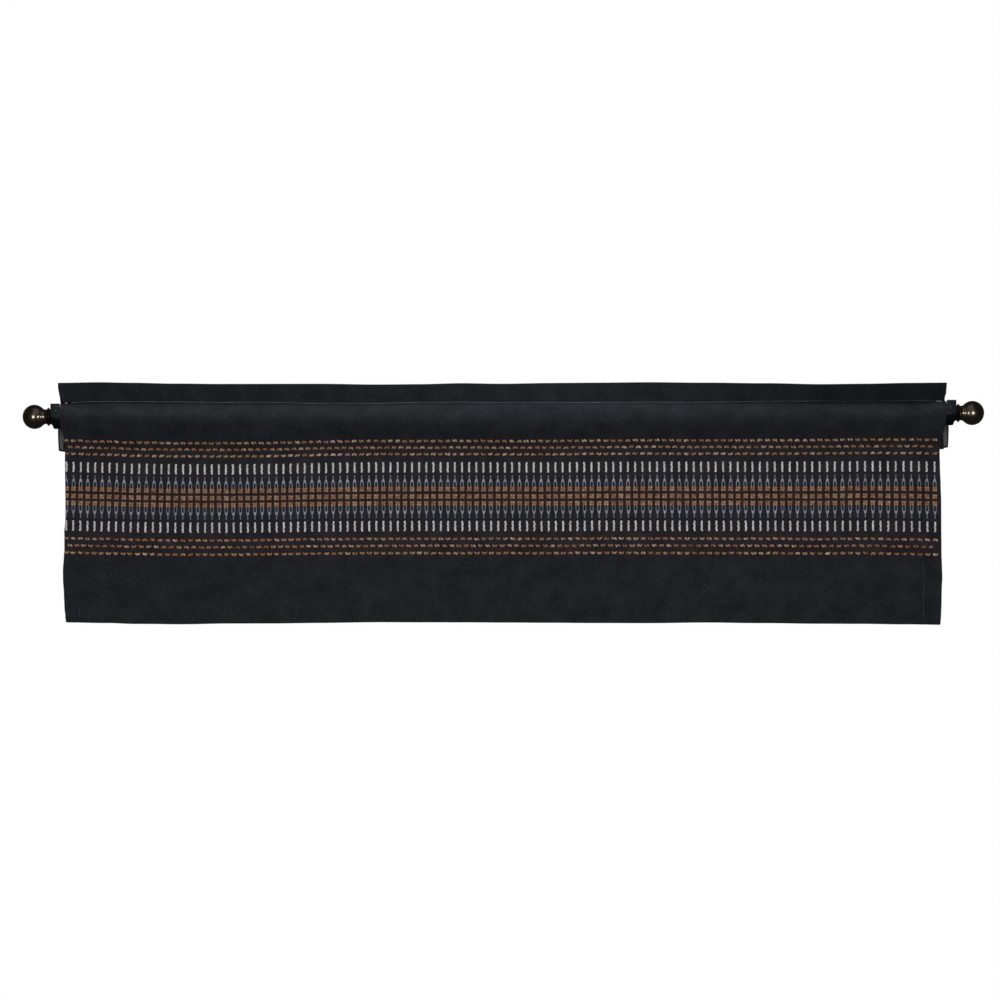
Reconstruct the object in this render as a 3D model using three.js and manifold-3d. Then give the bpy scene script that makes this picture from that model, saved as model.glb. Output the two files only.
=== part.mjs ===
// Window valance on a curtain pole: one straight cloth with a pole pocket and a standing header,
// hung on a round pole with ball finials that two wall brackets carry.
// Millimetres. +X runs along the pole, +Y into the wall (the wall is y = 0) and +Z up. z = 0 is the pole's axis.
import * as THREE from "three";
import { mergeVertices } from "three/addons/utils/BufferGeometryUtils.js";
import Module from "manifold-3d";

const wasm = await Module();
wasm.setup();

// ---------------------------------------------------------------- driving dimensions

const POLE_RADIUS = 17.5;
const POLE_HALF_LENGTH = 779;
const POLE_TO_WALL = 70;
const PIECE_GAP = 0.3;

const CLOTH_HALF_WIDTH = 762; // 60 inches of cloth, edge to edge
const CLOTH_THICKNESS = 1.2;
const LAYER_SPACING = 1.9; // between the middles of two layers that lie together
const BODY_SETBACK = 3; // the body hangs this far behind the pole's axis
const SEAM_HEIGHT = -58; // the pocket's lower seam
const FREE_EDGE_HEIGHT = -360; // the body's bottom, where it is loosest
const POCKET_TAIL = 3; // the pocket's back layer ends this far below its seam
const POCKET_LIFT_ANGLE = THREE.MathUtils.degToRad(42); // from the top, where its front leaves the pole
const POCKET_BELLY_DEPTH = 25.3; // how far before the pole's axis its front hangs
const POCKET_END_FULLNESS = 4.2; // how much fuller its upper front is at its two ends
const POCKET_END_START = 725; // the ends' fullness grows from here
const POCKET_END_FULL = 760; // to here
const POCKET_BACK_SLACK = 0.2; // how far its back stands off the pole
const POCKET_BACK_ANGLE = THREE.MathUtils.degToRad(118); // from the top, where its back falls away
const CURVE_START_PULL = 0.36; // how far a falling curve keeps its first direction, as a share of its height
const CURVE_END_PULL = 0.4; // and how far it keeps its last one
const HEADER_CURVE = 1.15; // the header's lean grows with this power of the height
const BOTTOM_HEM = 41;
const SIDE_HEM = 27;
const SIDE_HEM_EXTRA = 0.8; // thickness that the folded side hems add at the back

const CUP_INNER_RADIUS = POLE_RADIUS + PIECE_GAP;
const CUP_OUTER_RADIUS = 21.2;
const CUP_INNER_FACE = 763.4; // distance from the middle of the pole
const CUP_OUTER_FACE = 779.2;
const CUP_STRAP_FACE = 777.2; // the cup is narrower under the pole
const CUP_STRAP_TOP = -14.6;
const CUP_LIP_TOP = 21.8;
const CUP_BACK_TOP = 9;
const BRACKET_MIDDLE = 770.6;
const ARM_WIDTH = 10;
const ARM_TOP = 7;
const ARM_BOTTOM = -9;
const ARM_BITE = 1.5; // how far the arm runs into the cup's wall
const ARM_PLATE_BITE = 0.5; // and into the plate
const CUTTER_SPARE = 10; // how far a cutting block reaches past what it cuts

const PLATE_MIDDLE = 774;
const PLATE_WIDTH = 30;
const PLATE_TOP = 21.5;
const PLATE_BOTTOM = -59;
const PLATE_THICKNESS = 4;
const PLATE_BEVEL = 1.8;
const PLATE_BOW = 1.3; // its four sides bow outwards by this much
const PLATE_CORNER = 2.5;
const WALL_HOLE_RADIUS = 2.4;
const WALL_HOLE_HEIGHTS = [14.5, -46];

const SET_SCREW_RADIUS = 2.3;
const SET_SCREW_MIDDLE = 768.2;
const SET_SCREW_HEIGHT = 9;
const SET_SCREW_PROUD = 0.6;
const SCREW_SIDES = 20;

const BALL_MIDDLE = 812.1; // distance from the middle of the pole
const BALL_RADIUS = 21;
const BALL_HALF_LENGTH = 19.9;

// ---------------------------------------------------------------- how the cloth hangs

// The cloth isn't quite level on its pole. For each station along the pole: the heights of the header's top
// fold, of the stitching above the pole, of the pocket's belly and of the bottom fold, how far the header leans
// towards the room, and how far the woven band lies above its mean height.
const HANG = [
  { x: -765, top: 57.6, stitch: 24.6, lean: 9.5, belly: -1, band: 4.1, bottom: -356.0 },
  { x: -690, top: 58.4, stitch: 26.2, lean: 9, belly: -1, band: 2.2, bottom: -357.3 },
  { x: -640, top: 57.4, stitch: 25.6, lean: 8.5, belly: -2, band: -0.1, bottom: -359.2 },
  { x: -560, top: 55.7, stitch: 24.9, lean: 8, belly: -4, band: -1.3, bottom: -360.3 },
  { x: -480, top: 54.8, stitch: 23.6, lean: 7, belly: -6.5, band: -2.0, bottom: -359.2 },
  { x: -400, top: 54.5, stitch: 23.4, lean: 7, belly: -7, band: -1.6, bottom: -359.3 },
  { x: -320, top: 54.4, stitch: 21.1, lean: 6, belly: -7.5, band: -0.1, bottom: -358.7 },
  { x: -215, top: 52.8, stitch: 20.6, lean: 5.5, belly: -9, band: 1.0, bottom: -357.7 },
  { x: -140, top: 53.1, stitch: 22.0, lean: 6, belly: -12, band: 0.5, bottom: -358.3 },
  { x: -75, top: 54.5, stitch: 22.2, lean: 5, belly: -13, band: 0.5, bottom: -358.8 },
  { x: 0, top: 53.6, stitch: 21.3, lean: -1, belly: -13, band: -0.2, bottom: -359.6 },
  { x: 80, top: 54.6, stitch: 21.0, lean: -3, belly: -13, band: -0.4, bottom: -360.2 },
  { x: 160, top: 54.7, stitch: 20.5, lean: -1, belly: -12, band: -0.1, bottom: -361.0 },
  { x: 250, top: 54.9, stitch: 20.5, lean: 3.5, belly: -10.5, band: 0.3, bottom: -361.5 },
  { x: 350, top: 53.5, stitch: 20.4, lean: 8, belly: -10, band: -0.3, bottom: -360.6 },
  { x: 450, top: 51.9, stitch: 21.4, lean: 12, belly: -8.5, band: -0.7, bottom: -362.1 },
  { x: 548, top: 49.5, stitch: 21.2, lean: 14.5, belly: -7.5, band: -0.6, bottom: -363.7 },
  { x: 620, top: 49.9, stitch: 21.0, lean: 16, belly: -7, band: -0.2, bottom: -364.3 },
  { x: 700, top: 51.0, stitch: 21.4, lean: 17, belly: -6.5, band: 0.0, bottom: -365.5 },
  { x: 765, top: 51.4, stitch: 20.8, lean: 17, belly: -6, band: -1.4, bottom: -366.6 },
];

// How far the cloth's two side edges stand from the middle of the pole, from the top down.
const SIDE_EDGES = [
  { z: 58, left: 768.4, right: 763.9 },
  { z: 48, left: 769.0, right: 764.4 },
  { z: 40, left: 768.1, right: 764.9 },
  { z: 34, left: 767.3, right: 765.4 },
  { z: 29, left: 767.0, right: 764.2 },
  { z: 25, left: 767.0, right: 763.5 },
  { z: 22, left: 766.2, right: 764.7 },
  { z: 19, left: 765.4, right: 765.0 },
  { z: 17.5, left: 763.1, right: 763.1 },
  { z: 8, left: 763.0, right: 763.0 },
  { z: -17, left: 762.9, right: 761.0 },
  { z: -30, left: 761.1, right: 759.2 },
  { z: -54, left: 760.2, right: 758.0 },
  { z: -66, left: 760.6, right: 756.3 },
  { z: -90, left: 760.5, right: 756.8 },
  { z: -130, left: 760.2, right: 758.1 },
  { z: -150, left: 759.9, right: 758.9 },
  { z: -180, left: 760.1, right: 759.0 },
  { z: -198, left: 762.0, right: 759.0 },
  { z: -231, left: 761.9, right: 759.2 },
  { z: -240, left: 762.8, right: 759.2 },
  { z: -268, left: 764.6, right: 760.0 },
  { z: -285, left: 764.4, right: 760.6 },
  { z: -305, left: 763.0, right: 759.5 },
  { z: -330, left: 762.2, right: 759.2 },
  { z: -346, left: 760.6, right: 758.5 },
  { z: -366, left: 758.4, right: 757.3 },
];

// The pocket's back layer keeps its full width below the pole.
const BACK_EDGES = [
  { z: 20, left: 763.1, right: 763.0 },
  { z: -18, left: 762.9, right: 762.9 },
  { z: -30, left: 763.6, right: 763.6 },
  { z: -61, left: 764.2, right: 764.2 },
];

// Soft troughs (depth > 0) and ridges (depth < 0) in the body.
const CREASES = [
  { x: -604, z: -200, halfWidth: 13, halfHeight: 190, depth: 1.6 },
  { x: -665, z: -240, halfWidth: 16, halfHeight: 120, depth: -1.2 },
  { x: -650, z: -262, halfWidth: 30, halfHeight: 22, depth: 2.0 },
  { x: -231, z: -270, halfWidth: 40, halfHeight: 24, depth: 2.2 },
  { x: -93, z: -281, halfWidth: 34, halfHeight: 18, depth: 1.8 },
  { x: -10, z: -325, halfWidth: 26, halfHeight: 22, depth: 2.4 },
  { x: 380, z: -292, halfWidth: 60, halfHeight: 30, depth: -1.4 },
  { x: 632, z: -350, halfWidth: 42, halfHeight: 20, depth: 1.8 },
  { x: 738, z: -290, halfWidth: 22, halfHeight: 60, depth: -1.6 },
];

// Long, shallow waves that run along the body and grow towards its free lower edge.
const WAVES = [
  { length: 610, depth: 2.1, phase: 0.7 },
  { length: 268, depth: 0.9, phase: 2.3 },
];

// The pocket's front and the header aren't quite straight along the pole either.
const POCKET_WAVES = [
  { length: 383, depth: 0.7, phase: 1.2 },
  { length: 144.5, depth: 0.5, phase: 0 },
];
const HEADER_WAVES = [{ length: 465, depth: 1.1, phase: 0 }];

const smooth = (low, high, value) => THREE.MathUtils.smoothstep(value, low, high);

// The value of one column of a table at a place between its rows, eased from row to row.
function lookUp(rows, key, place, column) {
  const rising = rows[0][key] < rows[rows.length - 1][key];
  const sorted = rising ? rows : [...rows].reverse();
  const upper = sorted.findIndex((row) => row[key] >= place);
  if (upper === 0) return sorted[0][column];
  if (upper < 0) return sorted[sorted.length - 1][column];
  const a = sorted[upper - 1];
  const b = sorted[upper];
  const ease = smooth(a[key], b[key], place);
  return a[column] + (b[column] - a[column]) * ease;
}

// The sum of a list of waves at a station along the pole.
function waveSum(waves, x) {
  const depthOf = (wave) => wave.depth * Math.sin((2 * Math.PI * x) / wave.length + wave.phase);
  return waves.reduce((sum, wave) => sum + depthOf(wave), 0);
}

// How far behind its plane the body lies at a point, from its creases and waves.
function bodyRelief(x, z) {
  let depth = 0;
  for (const crease of CREASES) {
    const across = (x - crease.x) / crease.halfWidth;
    const down = (z - crease.z) / crease.halfHeight;
    depth += crease.depth * Math.exp(-across * across - down * down);
  }
  const looseness = smooth(SEAM_HEIGHT, FREE_EDGE_HEIGHT, z);
  return depth + looseness * waveSum(WAVES, x);
}

// ---------------------------------------------------------------- the cloth's section

// A point of the section: y is measured back from the pole's axis.
const at = (y, z, edges = SIDE_EDGES) => ({ y, z, edges });

// Points on a half circle between two layers, where the path turns from one to the other.
function halfTurn(points, middleY, middleZ, radius, startAngle, endAngle, steps) {
  for (let i = 1; i < steps; i++) {
    const angle = startAngle + ((endAngle - startAngle) * i) / steps;
    points.push(at(middleY + radius * Math.cos(angle), middleZ + radius * Math.sin(angle)));
  }
}

// The pocket from the stitching over the top of the pole to an angle from its top.
// side is -1 in front of the pole and 1 behind it, and swell is how far the cloth stands off at the last angle.
function overPole({ side, stitchHeight, spacing, swell, lastAngle, steps, edges }) {
  const closeRadius = POLE_RADIUS + PIECE_GAP + CLOTH_THICKNESS / 2 + (spacing - LAYER_SPACING) / 2;
  const straightTo = Math.acos(Math.min(1, closeRadius / stitchHeight));
  const startAngle = Math.asin(spacing / 2 / stitchHeight);
  const points = [];
  for (let i = 0; i <= steps; i++) {
    const angle = startAngle + ((lastAngle - startAngle) * i) / steps;
    const close = angle < straightTo ? closeRadius / Math.cos(straightTo - angle) : closeRadius;
    const radius = close + swell * smooth(startAngle, lastAngle, angle);
    points.push(at(side * radius * Math.sin(angle), radius * Math.cos(angle), edges));
  }
  return points;
}

// Adds a smooth fall that goes on from the last two points and arrives at a place hanging straight down.
function fallTo(points, y, z, steps, edges) {
  const last = points[points.length - 1];
  const before = points[points.length - 2];
  const span = last.z - z;
  const run = new THREE.Vector2(last.y - before.y, last.z - before.z).setLength(span * CURVE_START_PULL);
  const curve = new THREE.CubicBezierCurve(
    new THREE.Vector2(last.y, last.z),
    new THREE.Vector2(last.y + run.x, last.z + run.y),
    new THREE.Vector2(y, z + span * CURVE_END_PULL),
    new THREE.Vector2(y, z),
  );
  for (const point of curve.getPoints(steps).slice(1)) points.push(at(point.x, point.y, edges));
}

// How many steps each stretch of the section takes.
const FOLD_STEPS = 4;
const BODY_STEPS = 8;
const LIFT_STEPS = 5;
const FALL_STEPS = 4;
const HEADER_STEPS = 3;
const BACK_STEPS = 9;

// The whole section at one station: hem, body, pocket front, header, pocket back, as one path through the
// middle of the cloth. The layers stand further apart where the side hems make them thicker.
function sectionAt(x, spacing) {
  const half = spacing / 2;
  const top = lookUp(HANG, "x", x, "top");
  const stitch = lookUp(HANG, "x", x, "stitch");
  const bottom = lookUp(HANG, "x", x, "bottom");
  const seamZ = SEAM_HEIGHT + lookUp(HANG, "x", x, "band");
  const bodyY = (z) => BODY_SETBACK + bodyRelief(x, z);
  const foldY = bodyY(bottom);
  const points = [];

  for (const height of [BOTTOM_HEM, BOTTOM_HEM * 0.6, BOTTOM_HEM * 0.25, half]) {
    points.push(at(bodyY(bottom + height) + spacing, bottom + height));
  }
  halfTurn(points, foldY + half, bottom + half, half, 0, -Math.PI, FOLD_STEPS);
  for (let i = 0; i < BODY_STEPS; i++) {
    const z = bottom + half + (seamZ - bottom - half) * (i / BODY_STEPS);
    points.push(at(bodyY(z), z));
  }

  const front = overPole({
    side: -1,
    stitchHeight: stitch,
    spacing,
    swell: POCKET_END_FULLNESS * smooth(POCKET_END_START, POCKET_END_FULL, Math.abs(x)),
    lastAngle: POCKET_LIFT_ANGLE,
    steps: LIFT_STEPS,
    edges: SIDE_EDGES,
  });
  const belly = lookUp(HANG, "x", x, "belly");
  fallTo(front, -POCKET_BELLY_DEPTH - waveSum(POCKET_WAVES, x), belly, FALL_STEPS, SIDE_EDGES);
  fallTo(front, bodyY(seamZ), seamZ, FALL_STEPS, SIDE_EDGES);
  points.push(...front.reverse());

  const lean = lookUp(HANG, "x", x, "lean") + waveSum(HEADER_WAVES, x);
  const leanAt = (z) => -lean * ((z - stitch) / (top - stitch)) ** HEADER_CURVE;
  const headerTop = top - half;
  for (let i = 1; i <= HEADER_STEPS; i++) {
    const z = stitch + (headerTop - stitch) * (i / HEADER_STEPS);
    points.push(at(leanAt(z) - half, z));
  }
  halfTurn(points, leanAt(headerTop), headerTop, half, Math.PI, 0, FOLD_STEPS);
  for (let i = HEADER_STEPS; i >= 1; i--) {
    const z = stitch + (headerTop - stitch) * (i / HEADER_STEPS);
    points.push(at(leanAt(z) + half, z));
  }

  const tailZ = seamZ - POCKET_TAIL;
  const back = overPole({
    side: 1,
    stitchHeight: stitch,
    spacing,
    swell: POCKET_BACK_SLACK,
    lastAngle: POCKET_BACK_ANGLE,
    steps: BACK_STEPS,
    edges: BACK_EDGES,
  });
  fallTo(back, bodyY(tailZ) + spacing, tailZ, FALL_STEPS, BACK_EDGES);
  points.push(...back);
  return points;
}

// The section's normals, square to the path in the YZ plane, mitred where it turns.
function normalsOf(points) {
  return points.map((point, i) => {
    const before = points[Math.max(0, i - 1)];
    const after = points[Math.min(points.length - 1, i + 1)];
    const into = new THREE.Vector2(point.y - before.y, point.z - before.z);
    const out = new THREE.Vector2(after.y - point.y, after.z - point.z);
    if (i === 0) into.copy(out);
    if (i === points.length - 1) out.copy(into);
    into.normalize();
    out.normalize();
    const along = into.clone().add(out).normalize();
    const mitre = 1 / Math.max(0.6, along.dot(out));
    return { y: along.y * mitre, z: -along.x * mitre };
  });
}

// A closed thick sheet between two grids of points, each [station][point along the path].
function thickSheet(rightSide, wrongSide) {
  const stations = rightSide.length;
  const steps = rightSide[0].length;
  const positions = [];
  for (const grid of [rightSide, wrongSide]) {
    for (const row of grid) {
      for (const p of row) positions.push(p.x, p.y, p.z);
    }
  }
  const right = (i, j) => i * steps + j;
  const wrong = (i, j) => stations * steps + i * steps + j;
  const index = [];
  const quad = (a, b, c, d) => index.push(a, c, b, a, d, c);
  for (let i = 0; i + 1 < stations; i++) {
    for (let j = 0; j + 1 < steps; j++) {
      quad(right(i, j), right(i, j + 1), right(i + 1, j + 1), right(i + 1, j));
      quad(wrong(i, j), wrong(i + 1, j), wrong(i + 1, j + 1), wrong(i, j + 1));
    }
    quad(right(i, 0), right(i + 1, 0), wrong(i + 1, 0), wrong(i, 0));
    quad(right(i + 1, steps - 1), right(i, steps - 1), wrong(i, steps - 1), wrong(i + 1, steps - 1));
  }
  const end = stations - 1;
  for (let j = 0; j + 1 < steps; j++) {
    quad(right(0, j + 1), right(0, j), wrong(0, j), wrong(0, j + 1));
    quad(right(end, j), right(end, j + 1), wrong(end, j + 1), wrong(end, j));
  }
  const geometry = new THREE.BufferGeometry();
  geometry.setAttribute("position", new THREE.Float32BufferAttribute(positions, 3));
  geometry.setIndex(index);
  return geometry;
}

// Stations across the cloth: close together at the side hems, even between them.
function clothStations() {
  const stations = [];
  const hemEdge = CLOTH_HALF_WIDTH - SIDE_HEM;
  const nearEdge = CLOTH_HALF_WIDTH - 6;
  const inner = hemEdge - 2;
  const steps = 40;
  stations.push(-CLOTH_HALF_WIDTH, -nearEdge, -hemEdge);
  for (let i = 0; i <= steps; i++) stations.push(-inner + (2 * inner * i) / steps);
  stations.push(hemEdge, nearEdge, CLOTH_HALF_WIDTH);
  return stations;
}

function clothGeometry() {
  const rightSide = [];
  const wrongSide = [];
  for (const station of clothStations()) {
    const inHem = Math.abs(station) >= CLOTH_HALF_WIDTH - SIDE_HEM;
    const extra = inHem ? SIDE_HEM_EXTRA : 0;
    const points = sectionAt(station, LAYER_SPACING + 2 * extra);
    const normals = normalsOf(points);
    const share = station / CLOTH_HALF_WIDTH;
    const place = (offset) =>
      points.map((point, i) => {
        const edge = lookUp(point.edges, "z", point.z, share < 0 ? "left" : "right");
        const y = -POLE_TO_WALL + point.y + normals[i].y * offset;
        return new THREE.Vector3(share * edge, y, point.z + normals[i].z * offset);
      });
    rightSide.push(place(-CLOTH_THICKNESS / 2));
    wrongSide.push(place(CLOTH_THICKNESS / 2 + extra));
  }
  return thickSheet(rightSide, wrongSide);
}

// ---------------------------------------------------------------- joining and cutting

function solidOf(geometry) {
  const bare = new THREE.BufferGeometry();
  bare.setAttribute("position", geometry.getAttribute("position"));
  if (geometry.index) bare.setIndex(geometry.index);
  const merged = mergeVertices(bare, 1e-4);
  return new wasm.Manifold(
    new wasm.Mesh({
      numProp: 3,
      vertProperties: new Float32Array(merged.attributes.position.array),
      triVerts: new Uint32Array(merged.index.array),
    }),
  );
}

function geometryOf(solid) {
  const { numProp, vertProperties, triVerts } = solid.getMesh();
  const geometry = new THREE.BufferGeometry();
  const places = new THREE.InterleavedBuffer(vertProperties, numProp);
  geometry.setAttribute("position", new THREE.InterleavedBufferAttribute(places, 3, 0));
  geometry.setIndex(new THREE.BufferAttribute(triVerts, 1));
  return geometry.toNonIndexed();
}

// A block between two corners.
function block(low, high) {
  const size = high.clone().sub(low);
  const middle = high.clone().add(low).multiplyScalar(0.5);
  return new THREE.BoxGeometry(size.x, size.y, size.z).translate(middle.x, middle.y, middle.z);
}

// A cylinder along Y between two depths.
function rodAlongY(radius, x, z, frontY, backY, sides) {
  const rod = new THREE.CylinderGeometry(radius, radius, backY - frontY, sides);
  return rod.translate(0, (frontY + backY) / 2, 0).translate(x, 0, z);
}

// ---------------------------------------------------------------- bracket

// The cup's profile: a high lip in front of the pole, a round bottom under it and a low wall behind it.
// It is drawn as (y, z) about the pole's axis and extruded along X.
function cupGeometry() {
  const profile = new THREE.Shape();
  profile.moveTo(-CUP_OUTER_RADIUS, CUP_LIP_TOP - 1);
  profile.lineTo(-CUP_OUTER_RADIUS, 0);
  profile.absarc(0, 0, CUP_OUTER_RADIUS, Math.PI, 2 * Math.PI, false);
  profile.lineTo(CUP_OUTER_RADIUS, CUP_BACK_TOP);
  profile.lineTo(CUP_INNER_RADIUS, CUP_BACK_TOP);
  profile.lineTo(CUP_INNER_RADIUS, 0);
  profile.absarc(0, 0, CUP_INNER_RADIUS, 2 * Math.PI, Math.PI, true);
  profile.lineTo(-CUP_INNER_RADIUS, CUP_LIP_TOP);
  profile.lineTo(-CUP_OUTER_RADIUS + 1, CUP_LIP_TOP);
  const width = CUP_OUTER_FACE - CUP_INNER_FACE;
  const cup = new THREE.ExtrudeGeometry(profile, { depth: width, bevelEnabled: false, curveSegments: 18 });
  const profileToPart = new THREE.Matrix4().makeBasis(
    new THREE.Vector3(0, 1, 0),
    new THREE.Vector3(0, 0, 1),
    new THREE.Vector3(1, 0, 0),
  );
  return cup.applyMatrix4(profileToPart).translate(CUP_INNER_FACE, -POLE_TO_WALL, 0);
}

// The wall plate's outline: four slightly bowed sides with small round corners, drawn as (x, z).
function plateOutline() {
  const halfWidth = PLATE_WIDTH / 2;
  const halfHeight = (PLATE_TOP - PLATE_BOTTOM) / 2;
  const sideX = halfWidth - PLATE_BOW;
  const endZ = halfHeight - PLATE_BOW;
  const c = PLATE_CORNER;
  const shape = new THREE.Shape();
  shape.moveTo(-sideX + c, -endZ);
  shape.quadraticCurveTo(0, -halfHeight - PLATE_BOW, sideX - c, -endZ);
  shape.quadraticCurveTo(sideX, -endZ, sideX, -endZ + c);
  shape.quadraticCurveTo(halfWidth + PLATE_BOW, 0, sideX, endZ - c);
  shape.quadraticCurveTo(sideX, endZ, sideX - c, endZ);
  shape.quadraticCurveTo(0, halfHeight + PLATE_BOW, -sideX + c, endZ);
  shape.quadraticCurveTo(-sideX, endZ, -sideX, endZ - c);
  shape.quadraticCurveTo(-halfWidth - PLATE_BOW, 0, -sideX, -endZ + c);
  shape.quadraticCurveTo(-sideX, -endZ, -sideX + c, -endZ);
  return shape;
}

function plateGeometry() {
  const plate = new THREE.ExtrudeGeometry(plateOutline(), {
    depth: PLATE_THICKNESS,
    bevelThickness: PLATE_BEVEL,
    bevelSize: PLATE_BEVEL,
    bevelOffset: -PLATE_BEVEL,
    bevelSegments: 2,
    curveSegments: 6,
  });
  const middleZ = (PLATE_TOP + PLATE_BOTTOM) / 2;
  return plate.rotateX(Math.PI / 2).translate(PLATE_MIDDLE, PLATE_BEVEL, middleZ);
}

// The right-hand bracket as one casting: wall plate, arm and cup.
function bracketSolid() {
  const wallBack = block(
    new THREE.Vector3(PLATE_MIDDLE - PLATE_WIDTH, 0, PLATE_BOTTOM - CUTTER_SPARE),
    new THREE.Vector3(PLATE_MIDDLE + PLATE_WIDTH, PLATE_THICKNESS, PLATE_TOP + CUTTER_SPARE),
  );
  const arm = block(
    new THREE.Vector3(BRACKET_MIDDLE - ARM_WIDTH / 2, -POLE_TO_WALL + CUP_OUTER_RADIUS - ARM_BITE, ARM_BOTTOM),
    new THREE.Vector3(BRACKET_MIDDLE + ARM_WIDTH / 2, -PLATE_THICKNESS + ARM_PLATE_BITE, ARM_TOP),
  );
  const cutterReach = CUP_OUTER_RADIUS + CUTTER_SPARE;
  const belowStrap = block(
    new THREE.Vector3(CUP_STRAP_FACE, -POLE_TO_WALL - cutterReach, -cutterReach),
    new THREE.Vector3(CUP_OUTER_FACE + CUTTER_SPARE, -POLE_TO_WALL + cutterReach, CUP_STRAP_TOP),
  );
  const screwHole = rodAlongY(
    SET_SCREW_RADIUS + PIECE_GAP,
    SET_SCREW_MIDDLE,
    SET_SCREW_HEIGHT,
    -POLE_TO_WALL - CUP_OUTER_RADIUS - 2,
    -POLE_TO_WALL - CUP_INNER_RADIUS + 2,
    SCREW_SIDES,
  );
  let bracket = solidOf(cupGeometry()).subtract(solidOf(belowStrap)).subtract(solidOf(screwHole));
  bracket = bracket.add(solidOf(arm)).add(solidOf(plateGeometry()).subtract(solidOf(wallBack)));
  for (const z of WALL_HOLE_HEIGHTS) {
    const hole = rodAlongY(WALL_HOLE_RADIUS, PLATE_MIDDLE, z, -PLATE_THICKNESS - 2, 2, SCREW_SIDES);
    bracket = bracket.subtract(solidOf(hole));
  }
  return bracket;
}

// ---------------------------------------------------------------- pole, finial and set screw

function poleGeometry() {
  return new THREE.CylinderGeometry(POLE_RADIUS, POLE_RADIUS, 2 * POLE_HALF_LENGTH, 56).rotateZ(-Math.PI / 2);
}

// The finial is turned about the pole's axis: a short spigot, a thin collar, a neck and a ball.
// Each row is a distance along the axis from the middle of the pole, and a radius.
const FINIAL_STEM = [
  { along: POLE_HALF_LENGTH + PIECE_GAP, radius: 0 },
  { along: POLE_HALF_LENGTH + PIECE_GAP, radius: 13.0 },
  { along: 785.0, radius: 13.0 },
  { along: 786.2, radius: 14.2 },
  { along: 787.0, radius: 15.3 },
  { along: 787.7, radius: 15.8 },
  { along: 788.4, radius: 15.2 },
  { along: 789.2, radius: 13.9 },
  { along: 790.0, radius: 13.1 },
  { along: 790.8, radius: 12.76 },
  { along: 792.0, radius: 12.72 },
  { along: 793.4, radius: 12.8 },
  { along: 794.8, radius: 13.1 },
  { along: 796.2, radius: 13.7 },
  { along: 797.4, radius: 14.5 },
  { along: 798.4, radius: 15.3 },
];
const BALL_START_RADIUS = 16.0; // the ball's own curve begins here

function finialGeometry() {
  const profile = FINIAL_STEM.map((row) => new THREE.Vector2(row.radius, row.along));
  const meets = Math.asin(BALL_START_RADIUS / BALL_RADIUS);
  const steps = 14;
  for (let i = 0; i <= steps; i++) {
    const angle = meets + ((Math.PI - meets) * i) / steps;
    const radius = i === steps ? 0 : BALL_RADIUS * Math.sin(angle);
    profile.push(new THREE.Vector2(radius, BALL_MIDDLE - BALL_HALF_LENGTH * Math.cos(angle)));
  }
  return new THREE.LatheGeometry(profile, 32).rotateZ(-Math.PI / 2);
}

function setScrewGeometry() {
  const front = -CUP_OUTER_RADIUS - SET_SCREW_PROUD;
  const back = -CUP_INNER_RADIUS;
  return rodAlongY(SET_SCREW_RADIUS, SET_SCREW_MIDDLE, SET_SCREW_HEIGHT, front, back, SCREW_SIDES);
}

// ---------------------------------------------------------------- assembly

const cloth = new THREE.MeshStandardMaterial({ color: 0x1f2025, roughness: 0.95, metalness: 0 });
const polePaint = new THREE.MeshStandardMaterial({ color: 0x1b1e20, roughness: 0.5, metalness: 0.1 });
const bracketPaint = new THREE.MeshStandardMaterial({ color: 0x2a2e30, roughness: 0.45, metalness: 0.4 });
const bronze = new THREE.MeshStandardMaterial({ color: 0x3f382f, roughness: 0.28, metalness: 1 });
const steel = new THREE.MeshStandardMaterial({ color: 0x4a4c4d, roughness: 0.35, metalness: 1 });

function named(name, geometry, material) {
  const mesh = new THREE.Mesh(geometry, material);
  mesh.name = name;
  return mesh;
}

const valance = new THREE.Group();
valance.add(named("valance_cloth", clothGeometry(), cloth));

const pole = named("pole", poleGeometry(), polePaint);
pole.position.y = -POLE_TO_WALL;
valance.add(pole);

const rightBracket = bracketSolid();
const rightScrew = solidOf(setScrewGeometry());
const leftBracket = rightBracket.mirror([1, 0, 0]);
const leftScrew = rightScrew.mirror([1, 0, 0]);
const HANDS = [
  { hand: "left", bracket: leftBracket, screw: leftScrew, turn: Math.PI },
  { hand: "right", bracket: rightBracket, screw: rightScrew, turn: 0 },
];
for (const { hand, bracket, screw, turn } of HANDS) {
  valance.add(named(`bracket_${hand}`, geometryOf(bracket), bracketPaint));
  const setScrew = named(`set_screw_${hand}`, geometryOf(screw), steel);
  setScrew.position.y = -POLE_TO_WALL;
  valance.add(setScrew);
  const finial = named(`finial_${hand}`, finialGeometry(), bronze);
  finial.position.y = -POLE_TO_WALL;
  finial.rotation.z = turn;
  valance.add(finial);
}

export default valance;
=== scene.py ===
import math
import random

import bmesh
import bpy
from mathutils import Matrix, Vector, noise


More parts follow.
